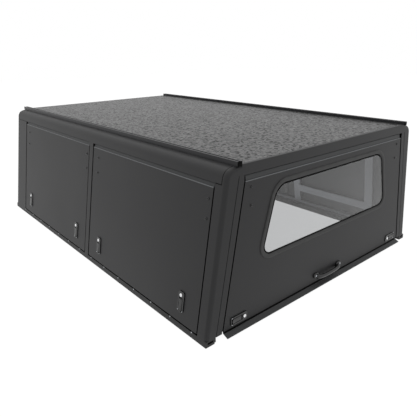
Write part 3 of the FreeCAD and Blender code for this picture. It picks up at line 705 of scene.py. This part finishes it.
class CANOPY_OT_stage(bpy.types.Operator):
    """Build the floor, the surroundings, the lamps and the camera"""
    bl_idname = "canopy.stage"
    bl_label = "Studio and camera"

    # half the floor's side, and how far it lies under the canopy
    FLOOR_HALF, FLOOR_DROP = 14.0, 0.0004
    TOP_PLACE, TOP_SIZE = (0.3, 0.2, 3.3), (4.5, 4.5)
    # the inner lamp lies in the open bottom and shines up
    INNER_PLACE, INNER_SIZE = (0, 0, 0.012), (1.2, 1.9)
    EYE = (-1.5902, -2.0667, 1.0540)
    # the bearing from Y towards X, the fall and the roll of the view, in degrees
    BEARING, FALL, ROLL = 40.0988, 20.4497, -0.8899
    # in millimetres
    LENS, SENSOR = 37.385, 36.0
    # the distances between which the camera sees
    NEAR, FAR = 0.05, 100.0

    def execute(self, context):
        scene = context.scene
        studio = scene.canopy_studio
        mesh = bpy.data.meshes.new("studio_floor")
        corners = [(x * self.FLOOR_HALF, y * self.FLOOR_HALF, -self.FLOOR_DROP)
                   for x, y in ((-1, -1), (1, -1), (1, 1), (-1, 1))]
        mesh.from_pydata(corners, [], [(0, 1, 2, 3)])
        mesh.materials.append(studio_floor())
        floor = bpy.data.objects.new("studio_floor", mesh)
        scene.collection.objects.link(floor)
        self.surroundings(scene, studio)
        top = self.lamp("top_lamp", self.TOP_PLACE, 0.0, self.TOP_SIZE, studio.top_power)
        top.visible_camera = False
        inner = self.lamp("inner_lamp", self.INNER_PLACE, math.pi, self.INNER_SIZE, studio.inner_power)
        for name in ("visible_camera", "visible_glossy", "visible_transmission"):
            setattr(inner, name, False)
        self.camera(scene)
        scene.view_settings.view_transform = "Standard"
        return {"FINISHED"}

    def surroundings(self, scene, studio):
        """White where it is seen, and an even grey for all other light."""
        world = bpy.data.worlds.new("studio")
        world.use_nodes = True
        tree = world.node_tree
        tree.nodes.clear()
        seen = add_node(tree, "ShaderNodeBackground", {"Color": WHITE, "Strength": 1.0})
        rest = add_node(tree, "ShaderNodeBackground", {"Color": WHITE, "Strength": studio.ambient})
        mix = add_node(tree, "ShaderNodeMixShader", {
            0: seen_directly(tree), 1: rest.outputs[0], 2: seen.outputs[0]})
        add_node(tree, "ShaderNodeOutputWorld", {"Surface": mix.outputs[0]})
        scene.world = world

    def lamp(self, name, place, tip, size, power):
        """A rectangular lamp that shines down, and is then tipped about the X axis."""
        data = bpy.data.lights.new(name, "AREA")
        data.shape = "RECTANGLE"
        data.size, data.size_y = size
        data.energy = power
        lamp = bpy.data.objects.new(name, data)
        lamp.location = place
        lamp.rotation_euler = (tip, 0, 0)
        bpy.context.scene.collection.objects.link(lamp)
        return lamp

    def camera(self, scene):
        """The photograph's view: its place, its two angles, its roll and its lens."""
        bearing, fall, roll = (math.radians(angle) for angle in (self.BEARING, self.FALL, self.ROLL))
        ahead = Vector((math.sin(bearing) * math.cos(fall), math.cos(bearing) * math.cos(fall),
                        -math.sin(fall)))
        right = ahead.cross(Vector((0, 0, 1))).normalized()
        above = right.cross(ahead)
        turned_right = right * math.cos(roll) + above * math.sin(roll)
        turned_up = above * math.cos(roll) - right * math.sin(roll)
        data = bpy.data.cameras.new("camera")
        data.sensor_width, data.lens = self.SENSOR, self.LENS
        data.clip_start, data.clip_end = self.NEAR, self.FAR
        camera = bpy.data.objects.new("camera", data)
        turn = Matrix((turned_right, turned_up, -ahead)).transposed().to_4x4()
        camera.matrix_world = Matrix.Translation(Vector(self.EYE)) @ turn
        scene.collection.objects.link(camera)
        scene.camera = camera


class CANOPY_OT_finish(bpy.types.Operator):
    """Give every solid its finish"""
    bl_idname = "canopy.finish"
    bl_label = "Finishes"

    # in degrees: the solids' edges that bend more stay sharp
    SHARP = 30.0
    # specular level of the rubber sections and of the deep black strip, kept low so that its painted shade
    # stays black
    MATT, DEEP = 0.35, 0.05

    def execute(self, context):
        colours = look()
        coat = powder_coat("charcoal powder coat", colours.coat)
        door_skin = powder_coat("powder coat with a primed inside", colours.coat,
                                colours.inner_skin, mask=inside_skin)
        # on the outer half of the doors' frames the lighter hinge colour paints the sheen of the hinge
        # rolls
        door_bars = powder_coat("hinge profile and clear-coated bars", colours.hinge,
                                colours.inside, mask=inside_frame)
        # the lighter hinge colour on the hatch's frame and flap: painted sheen on the hinge roll, painted
        # light on the flap in the canopy's shade
        hinge = powder_coat("black coated hinge profile", colours.hinge)
        hatch_skin = powder_coat("powder coat on the hatch with a primed inside", colours.coat,
                                 colours.inner_skin, mask=inside_hatch)
        roof, rail, latch, glass = roof_coat(), anodised_rail(), latch_coat(), tinted_glass()
        rubber = extruded_rubber("extruded black rubber", colours.rubber, self.MATT)
        # near black rubber: real on the rail plugs, partly painted shade on the window's locking strip,
        # painted shade over the flap
        extruded_rubber("deep black rubber", colours.strip, self.DEEP)
        chrome_plate()
        zinc_plate()
        # pale metal for the lips, whose colour paints the highlight along the skins' upper edges
        lip_highlight_metal()
        finishes = (
            ("roof_panel", roof), ("roof_rail", rail), ("door_panel", door_skin), ("door_frame", door_bars),
            ("hatch_panel", hatch_skin), ("hatch_frame", hinge), ("hatch_flap", hinge),
            ("door_latches", latch), ("hatch_latch", latch), ("lever", latch), ("pull_handle", latch),
            ("base_seals", rubber), ("window_gasket", rubber), ("window_glass", glass))
        for name, node in frame["nodes"].items():
            material = next((m for start, m in finishes if name.startswith(start)), coat)
            node.data.materials.clear()
            node.data.materials.append(material)
            node.data.shade_smooth()
            node.data.set_sharp_from_angle(angle=math.radians(self.SHARP))
        return {"FINISHED"}


class CANOPY_OT_window_seal(bpy.types.Operator):
    """Make the rubber section that holds the hatch window"""
    bl_idname = "canopy.window_seal"
    bl_label = "Window seal"

    # inwards from the outline, and deep inside the rear face, in millimetres: the lip on the
    # panel with the web between panel and glass, and the locking strip beside the glass, whose near black
    # also paints the shade at the glass's edge
    LIP = (
        (0.0, 1.0), (0.2, -0.7), (1.2, -2.2), (3.6, -3.1), (8.0, -3.2), (12.5, -2.8), (16.5, -1.9),
        (18.6, -0.8), (19.4, 0.4), (19.6, 1.0), (12.6, 1.0), (12.6, 6.0), (8.4, 6.0), (8.4, 1.0))
    STRIP = (
        (19.7, 1.0), (19.8, 0.4), (20.6, -0.4), (22.5, -0.9), (24.8, -0.6), (26.2, 0.3), (26.4, 1.0))

    def execute(self, context):
        sizes, body = context.scene.canopy_seal, context.scene.canopy_body
        corners = ((-sizes.half_low, sizes.low), (sizes.half_low, sizes.low),
                   (sizes.half_high, sizes.high), (-sizes.half_high, sizes.high))
        radii = (sizes.round_low, sizes.round_low, sizes.round_high, sizes.round_high)
        flat, inward = rounded_outline(corners, radii, per_corner=14)
        path = np.stack([flat[:, 0], np.full(len(flat), body.rear_face), flat[:, 1]], axis=1)
        normals = np.stack([inward[:, 0], np.zeros(len(flat)), inward[:, 1]], axis=1)
        deep = np.broadcast_to(CAB_AXIS, path.shape)
        for name, section, rubber, replaces in (
                ("window_seal", self.LIP, "extruded black rubber", ("window_gasket",)),
                ("window_strip", self.STRIP, "deep black rubber", ())):
            grid = swept(path, normals, deep, np.array(section) / 1000)
            faces = grid_faces(grid.shape[0], grid.shape[1], True, True)
            make_piece(name, grid.reshape(-1, 3), faces, bpy.data.materials[rubber], "hatch",
                       "rubber", angle=50, replaces=replaces)
        return {"FINISHED"}


# a button head's dome, in shares of its radius and its height
DOME = ((0.72, 0.93), (0.9, 0.68), (1.0, 0.25))
# the socket's floor and the foot of its bevel, in shares of the head's height, and the
# bevel's outline as a share of the socket's
SOCKET_FLOOR, SOCKET_BEVEL, SOCKET_FLARE = 0.35, 0.96, 1.08


def button_head(sizes, segments=24):
    """A domed screw head with a hexagonal socket.

    The rings run from the socket's floor up its six flats, over the dome and down to the
    panel. In the socket the radius is half the width divided by the cosine of the angle
    from the nearest flat's middle, and outside it is round.
    """
    turn = np.linspace(0, 2 * math.pi, segments, endpoint=False)
    sector = math.pi / 3
    hexagon = sizes.socket / 2 / np.cos((turn + sector / 2) % sector - sector / 2)
    radius, high = sizes.head / 2, sizes.head_high
    rings = [(hexagon, high * SOCKET_FLOOR), (hexagon, high * SOCKET_BEVEL), (hexagon * SOCKET_FLARE, high),
             *((radius * wide, high * tall) for wide, tall in DOME), (radius, -HEAD_UNDER)]
    return capped(np.stack([np.stack([r * np.cos(turn), r * np.sin(turn), np.full(segments, h)], axis=1)
                            for r, h in rings]))


class CANOPY_OT_bolts(bpy.types.Operator):
    """Set the screws of the hidden brackets into the doors and the hatch"""
    bl_idname = "canopy.bolts"
    bl_label = "Screws"

    # on a door: places up the wall, and distances from the panel's upright edges
    LEVELS = (0.558, 0.484)
    FROM_REAR_EDGE, FROM_FRONT_EDGE = 0.021, 0.053
    # on the hatch: distance from the middle, and heights
    HATCH_HALF = 0.520
    HATCH_LEVELS = (0.584, 0.513)

    def execute(self, context):
        body = context.scene.canopy_body
        head, faces = button_head(context.scene.canopy_fastener)
        coat = bpy.data.materials["black coated die-cast zinc"]
        for label, side in SIDES:
            along, up, out = wall_frame(side)
            for place in PLACES:
                low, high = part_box(f"door_panel_{place}_{label}")
                edges = (low.y - body.rear_face + self.FROM_REAR_EDGE,
                         high.y - body.rear_face - self.FROM_FRONT_EDGE)
                spots = [place_matrix(wall_point(side, edge, level, body.skin_deep), along, up, out)
                         for edge in edges for level in self.LEVELS]
                name = f"door_screws_{place}_{label}"
                make_piece(name, *copies(head, faces, spots), coat, f"door_{place}_{label}", "latch_coat")
        out = np.array([0.0, -1.0, 0.0])
        across = np.cross(UP, out)
        spots = [place_matrix(np.array([half, body.rear_face + body.skin_deep, level]), across, UP, out)
                 for half in (-self.HATCH_HALF, self.HATCH_HALF) for level in self.HATCH_LEVELS]
        make_piece("hatch_screws", *copies(head, faces, spots), coat, "hatch", "latch_coat")
        return {"FINISHED"}


class CANOPY_OT_rivets(bpy.types.Operator):
    """Set the bright rivets along the sills' upper edge"""
    bl_idname = "canopy.rivets"
    bl_label = "Sill rivets"

    # radius and height of a domed rivet head, in millimetres
    SECTION = ((0, 1.5), (1.1, 1.4), (2.0, 1.0), (2.7, 0.5), (3.0, 0), (3.0, -0.2), (0, -0.2))
    # the rivets' height up the wall, and the least distance of the last from the front face
    LEVEL, FRONT_CLEAR = 0.0238, 0.04

    def execute(self, context):
        sizes, body = context.scene.canopy_fastener, context.scene.canopy_body
        head, faces = turned(np.array(self.SECTION) / 1000, segments=16)
        zinc = bpy.data.materials["bright zinc-plated steel"]
        stations = np.arange(sizes.rivet_start, body.length - self.FRONT_CLEAR, sizes.rivet_pitch)
        for label, side in SIDES:
            spots = [place_matrix(wall_point(side, along, self.LEVEL), *wall_frame(side))
                     for along in stations]
            make_piece(f"sill_rivets_{label}", *copies(head, faces, spots), zinc, "canopy", "powder_coat")
        return {"FINISHED"}


class CANOPY_OT_hinge_lips(bpy.types.Operator):
    """Lay the hinge profiles' pale lips along the skins' upper edges, painting their highlight, and a black
    strip over the flap, painting the shade of the gap
    """
    bl_idname = "canopy.hinge_lips"
    bl_label = "Hinge lips"

    # up from the skin's edge and in from the wall's face, in millimetres
    SECTION = ((0, 0.3), (0, 4.0), (2.6, 4.0), (3.4, 3.0), (3.2, 1.6), (2.2, 0.7), (1.2, 0.3))
    # the near black strip between the hatch's lower edge and the flap, painting the shade of the gap there,
    # from the flap's upper edge
    FLAP_SECTION = ((-0.3, 2.0), (-0.3, 3.9), (-7.8, 3.9), (-8.2, 2.4), (-6.0, 1.2), (-3.0, 1.0),
                    (-1.0, 1.4))
    # how far a lip ends before its panel, and how far from an edge a point is still on it
    END, EDGE = 0.001, 0.001

    def execute(self, context):
        body = context.scene.canopy_body
        bright = bpy.data.materials["bright anodised aluminium"]
        section = np.array(self.SECTION) / 1000
        for label, side in SIDES:
            _, up, out = wall_frame(side)
            for place in PLACES:
                low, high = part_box(f"door_panel_{place}_{label}")
                # the lip starts just under the skin's upper edge
                level = (high.z - 0.5 * body.skin_deep * math.sin(body.lean)) / math.cos(body.lean)
                ends = np.array([wall_point(side, y - body.rear_face, level)
                                 for y in (low.y + self.END, high.y - self.END)])
                self.lip(f"hinge_lip_{place}_{label}", ends, up, -out, section, bright,
                         f"door_{place}_{label}")
        dark = bpy.data.materials["deep black rubber"]
        panel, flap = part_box("hatch_panel")[1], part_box("hatch_flap")[1]
        for name, width, top, outline, material in (
                ("hinge_lip_hatch", self.top_half("hatch_panel", panel.z), panel.z, section, bright),
                ("flap_shade_strip", flap.x, flap.z, np.array(self.FLAP_SECTION) / 1000, dark)):
            half = width - self.END
            ends = np.array([(-half, body.rear_face, top), (half, body.rear_face, top)])
            self.lip(name, ends, UP, CAB_AXIS, outline, material, "hatch")
        return {"FINISHED"}

    def top_half(self, node, height):
        """Half the width of a node's upper edge."""
        mesh = frame["nodes"][node].data
        points = np.empty(len(mesh.vertices) * 3)
        mesh.vertices.foreach_get("co", points)
        points = points.reshape(-1, 3)
        return points[points[:, 2] > height - self.EDGE, 0].max()

    def lip(self, name, ends, up, inward, section, material, carrier):
        """The section drawn out from one end to the other, with flat ends."""
        rings = swept(ends, np.tile(up, (2, 1)), np.tile(inward, (2, 1)), section)
        make_piece(name, *capped(rings), material, carrier, "powder_coat")


class CANOPY_OT_keys(bpy.types.Operator):
    """Put the plated key cylinders and the screws into the latches"""
    bl_idname = "canopy.keys"
    bl_label = "Key cylinders"

    # from a lever's pivot the key is up and out, and from the key the screws are to each
    # side, down and in
    UP_FROM_PIVOT, FACE_OUT = 0.018, 0.0065
    SCREW_HALF, SCREW_DOWN, SCREW_DEEP = 0.0150, 0.0665, 0.0030
    # the keyway's outline, and the heights of its two ends
    SLOT_HALF_WIDE, SLOT_HALF_LONG, SLOT_CORNER = 0.0005, 0.0023, 0.0004
    SLOT_FROM, SLOT_TO = 0.0002, 0.00112
    # radius and height of a small domed screw head, in millimetres
    SCREW = ((0, 1.1), (0.9, 1.0), (1.6, 0.6), (2.1, 0), (2.1, -0.3), (0, -0.3))
    # radius and height of the domed plug and its shroud, in millimetres
    SECTION = ((0, 1.0), (2.5, 0.95), (4.6, 0.7), (6.2, 0.3), (7.2, -0.4), (7.6, -1.2), (7.6, -2.6),
               (0, -2.6))

    def execute(self, context):
        shell = turned(np.array(self.SECTION) / 1000, segments=32)
        slot = self.keyway_shade_bar()
        screw = turned(np.array(self.SCREW) / 1000, segments=16)
        zinc = bpy.data.materials["bright zinc-plated steel"]
        chrome = bpy.data.materials["polished chrome plate"]
        dark = bpy.data.materials["extruded black rubber"]
        groups = {}
        for _, carrier, matrix in latch_places():
            groups.setdefault(carrier, []).append(
                matrix @ place_matrix((0, self.UP_FROM_PIVOT, self.FACE_OUT), *np.eye(3)))
        for carrier, spots in groups.items():
            make_piece(f"keys_{carrier}", *copies(*shell, spots), chrome, carrier, "latch_coat")
            # the keyway's mouth is a dark bar in the rubber's colour: painted shade where the real keyway
            # is an opening
            make_piece(f"keyway_shades_{carrier}", *copies(*slot, spots), dark, carrier, "latch_coat")
            corners = [spot @ place_matrix((side * self.SCREW_HALF, -self.SCREW_DOWN, -self.SCREW_DEEP),
                                           *np.eye(3)) for spot in spots for side in (-1, 1)]
            make_piece(f"latch_screws_{carrier}", *copies(*screw, corners), zinc, carrier, "latch_coat")
        return {"FINISHED"}

    def keyway_shade_bar(self):
        """A dark bar with round ends just above the plug: painted shade that stands for the keyway's open
        mouth.
        """
        wide, long = self.SLOT_HALF_WIDE, self.SLOT_HALF_LONG
        flat = rounded_outline(((-wide, -long), (wide, -long), (wide, long), (-wide, long)),
                               (self.SLOT_CORNER,) * 4, per_corner=5)[0]
        return capped(np.stack([np.column_stack([flat, np.full(len(flat), high)])
                                for high in (self.SLOT_FROM, self.SLOT_TO)]))


class CANOPY_OT_levers(bpy.types.Operator):
    """Shape the latches' levers"""
    bl_idname = "canopy.levers"
    bl_label = "Lever blades"

    # the blade, its face's distance out from the pivot, and the barrel's radius and half length
    HALF_WIDE, LONG, THICK = 0.0110, 0.0485, 0.0042
    FACE_OUT, BARREL, BARREL_HALF = 0.0045, 0.0030, 0.0112
    # share of the barrel's radius left at its ends, and the length of its bevel
    BARREL_END, BARREL_BEVEL = 0.85, 0.0004
    # share of the width lost at the waist, and the tip's rise
    WAIST, RISE = 0.10, 0.0022
    # shares of the way along from which the tip closes and the blade thins
    TIP_FROM, THIN_FROM = 0.86, 0.97
    # powers that square the blade's section across and outwards, and that round its tip
    ACROSS_POWER, OUT_POWER, TIP_POWER = 0.35, 0.6, 2.2

    def execute(self, context):
        points, faces = join(self.blade(), self.barrel())
        coat = bpy.data.materials["black coated die-cast zinc"]
        for lever, _, matrix in latch_places():
            make_piece(f"{lever}_blade", *copies(points, faces, [matrix]), coat, lever,
                       "latch_coat", angle=40, replaces=(lever,))
        return {"FINISHED"}

    def blade(self):
        """A flat blade with a crowned face and a tip that curls outwards.

        One parameter runs from the pivot to the tip, the other round the cross-section,
        a flattened circle. The half width loses a sine at the waist, and at the tip it is
        multiplied by the root of one minus a power of the way, nearly a quarter circle. The
        thickness falls with a square root at the very end, and the middle line rises with
        the fourth power of the way along.
        """
        # the last tenth has closer and closer rings
        along = np.concatenate([np.linspace(0, 0.9, 12), 1 - 0.1 * np.linspace(1, 0, 9)[1:] ** 2])
        turn = np.linspace(0, 2 * math.pi, 28, endpoint=False)
        wide = self.HALF_WIDE * (1 - self.WAIST * np.sin(math.pi * along))
        tip = np.clip((along - self.TIP_FROM) / (1 - self.TIP_FROM), 0, 1)
        wide = wide * np.sqrt(np.clip(1 - tip ** self.TIP_POWER, 0, 1))
        end = (1 - along) / (1 - self.THIN_FROM)
        thick = self.THICK / 2 * np.sqrt(np.where(along > self.THIN_FROM, end, 1.0))
        rise = self.RISE * along ** 4
        across = wide[:, None] * flattened(np.cos(turn), self.ACROSS_POWER)
        out = (self.FACE_OUT - self.THICK / 2 + rise[:, None]
               + thick[:, None] * flattened(np.sin(turn), self.OUT_POWER))
        back = np.broadcast_to(-self.LONG * along[:, None], across.shape)
        return capped(np.stack([across, back, out], axis=2))

    def barrel(self):
        """The round barrel on the pivot's axis: a lathe shape turned to lie across."""
        r, half = self.BARREL, self.BARREL_HALF
        end, shoulder = r * self.BARREL_END, half - self.BARREL_BEVEL
        points, faces = turned(((0, -half), (end, -half), (r, -shoulder), (r, shoulder),
                                (end, half), (0, half)), segments=20)
        return points[:, [2, 0, 1]], faces


class CANOPY_OT_handle(bpy.types.Operator):
    """Make the cast pull handle of the hatch and its screws"""
    bl_idname = "canopy.handle"
    bl_label = "Pull handle"

    # the bow's half length, its feet's height, how far it reaches out and hangs, and the
    # bar's radius
    HALF, HEIGHT, REACH, DROP, RADIUS = 0.083, 0.065, 0.0180, 0.0110, 0.0084
    FOOT_OUT, FOOT_HALF_WIDE, FOOT_HALF_HIGH, FOOT_THICK = 0.004, 0.0175, 0.0130, 0.0085
    # a foot's outline and height as shares of the full ones, from the panel to its top
    FOOT_RINGS = ((1, 0), (1, 0.55), (0.93, 0.85), (0.80, 1.0))
    SCREW_OUT, SCREW_SCALE = 0.0095, 0.9
    # powers that square the bow and the feet, and the bar's height as a share of its depth
    BOW_POWER, FOOT_POWER, TALL = 0.62, 0.7, 1.15
    # share by which the bar thickens at its feet, and its ends' depth as a share of a foot's
    SWELL, END_DEEP = 0.30, 0.4

    def execute(self, context):
        coat = bpy.data.materials["black coated die-cast zinc"]
        body = context.scene.canopy_body
        face = body.rear_face + body.skin_deep
        feet = [self.foot(side * (self.HALF + self.FOOT_OUT), face) for side in (-1, 1)]
        make_piece("handle_grip", *join(self.bow(face), *feet), coat, "hatch", "latch_coat", angle=45,
                   replaces=("pull_handle",))
        head, faces = button_head(context.scene.canopy_fastener)
        spots = [place_matrix((side * (self.HALF + self.SCREW_OUT), face - self.FOOT_THICK, self.HEIGHT),
                              np.array([-1.0, 0, 0]), UP, -CAB_AXIS) for side in (-1, 1)]
        make_piece("handle_screws", *copies(head * self.SCREW_SCALE, faces, spots),
                   bpy.data.materials["bright zinc-plated steel"], "hatch", "latch_coat")
        return {"FINISHED"}

    def bow(self, face):
        """A bar bent in a flat bow that hangs a little below its feet.

        The way across and the lift are the sine and the cosine of an angle, each to a power
        that squares the bow. The reach and the drop follow the lift, and the bar thickens
        with the sixth power of the way towards its feet.
        """
        turn = np.linspace(0, 2 * math.pi, 20, endpoint=False)
        angle = np.linspace(-math.pi / 2, math.pi / 2, 49)
        way = flattened(np.sin(angle), self.BOW_POWER)
        lift = np.abs(np.cos(angle)) ** self.BOW_POWER
        line = np.stack([self.HALF * way, face - self.REACH * lift, self.HEIGHT - self.DROP * lift], axis=1)
        line[0, 1] = line[-1, 1] = face - self.FOOT_THICK * self.END_DEEP
        tangent = np.gradient(line, axis=0)
        tangent /= np.linalg.norm(tangent, axis=1, keepdims=True)
        across = np.cross(tangent, UP)
        above = np.cross(across, tangent)
        thick = self.RADIUS * (1 + self.SWELL * np.abs(way) ** 6)
        return capped(line[:, None] + across[:, None] * (thick[:, None] * np.cos(turn))[..., None]
                      + above[:, None] * (thick[:, None] * self.TALL * np.sin(turn))[..., None])

    def foot(self, middle, face):
        """A domed pad: rings of a flattened ellipse that shrink towards its top."""
        turn = np.linspace(0, 2 * math.pi, 28, endpoint=False)
        across = self.FOOT_HALF_WIDE * flattened(np.cos(turn), self.FOOT_POWER)
        above = self.FOOT_HALF_HIGH * flattened(np.sin(turn), self.FOOT_POWER)
        return capped(np.stack([
            np.stack([middle + scale * across, np.full(len(turn), face - self.FOOT_THICK * high),
                      self.HEIGHT + scale * above], axis=1)
            for scale, high in self.FOOT_RINGS]))


class CANOPY_OT_rail_plugs(bpy.types.Operator):
    """Close the rear ends of the roof rails with moulded plugs"""
    bl_idname = "canopy.rail_plugs"
    bl_label = "Rail plugs"

    CAP_DEEP, CORNER = 0.0015, 0.003
    # share of the cap's depth where its edge turns in, and share of its outline at the face
    SHOULDER, FACE = 0.7, 0.9

    def execute(self, context):
        rubber = bpy.data.materials["deep black rubber"]
        for label, _ in SIDES:
            low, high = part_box(f"roof_rail_{label}")
            flat = rounded_outline(
                ((low.x, low.z), (high.x, low.z), (high.x, high.z), (low.x, high.z)),
                (self.CORNER,) * 4, per_corner=6)[0]
            middle = flat.mean(axis=0)
            rings = []
            for scale, deep in ((1, 0), (1, self.SHOULDER), (self.FACE, 1)):
                ring = middle + (flat - middle) * scale
                rings.append(np.stack([
                    ring[:, 0], np.full(len(flat), low.y - self.CAP_DEEP * deep), ring[:, 1]], axis=1))
            make_piece(f"rail_plug_{label}", *capped(np.stack(rings)), rubber, "canopy", "anodised_black")
        return {"FINISHED"}


OPERATORS = (
    CANOPY_OT_finish, CANOPY_OT_window_seal, CANOPY_OT_bolts, CANOPY_OT_rivets, CANOPY_OT_hinge_lips,
    CANOPY_OT_keys, CANOPY_OT_levers, CANOPY_OT_handle, CANOPY_OT_rail_plugs, CANOPY_OT_stage)
GROUPS = {
    "canopy_body": BodySizes, "canopy_finish": FinishColours, "canopy_seal": SealSizes,
    "canopy_fastener": FastenerSizes, "canopy_studio": StudioSettings}


class CANOPY_PT_looks(bpy.types.Panel):
    """The pieces of the canopy's looks, in the order they are made"""
    bl_label = "Canopy"
    bl_idname = "CANOPY_PT_looks"
    bl_space_type = "VIEW_3D"
    bl_region_type = "UI"
    bl_category = "Canopy"

    def draw(self, context):
        for operator in OPERATORS:
            self.layout.operator(operator.bl_idname)
        for name, group in GROUPS.items():
            column = self.layout.column()
            for prop in group.__annotations__:
                column.prop(getattr(context.scene, name), prop)


def register():
    """Add the settings, the operators and the panel."""
    for group in GROUPS.values():
        bpy.utils.register_class(group)
    for name, group in GROUPS.items():
        setattr(bpy.types.Scene, name, PointerProperty(type=group))
    for operator in OPERATORS:
        bpy.utils.register_class(operator)
    bpy.utils.register_class(CANOPY_PT_looks)


def unregister():
    """Remove the panel, the operators and the settings."""
    bpy.utils.unregister_class(CANOPY_PT_looks)
    for operator in reversed(OPERATORS):
        bpy.utils.unregister_class(operator)
    for name in GROUPS:
        delattr(bpy.types.Scene, name)
    for group in GROUPS.values():
        bpy.utils.unregister_class(group)


def main():
    """Make the looks in order."""
    register()
    for operator in OPERATORS:
        group, name = operator.bl_idname.split(".")
        getattr(getattr(bpy.ops, group), name)()


if __name__ == "__main__":
    main()
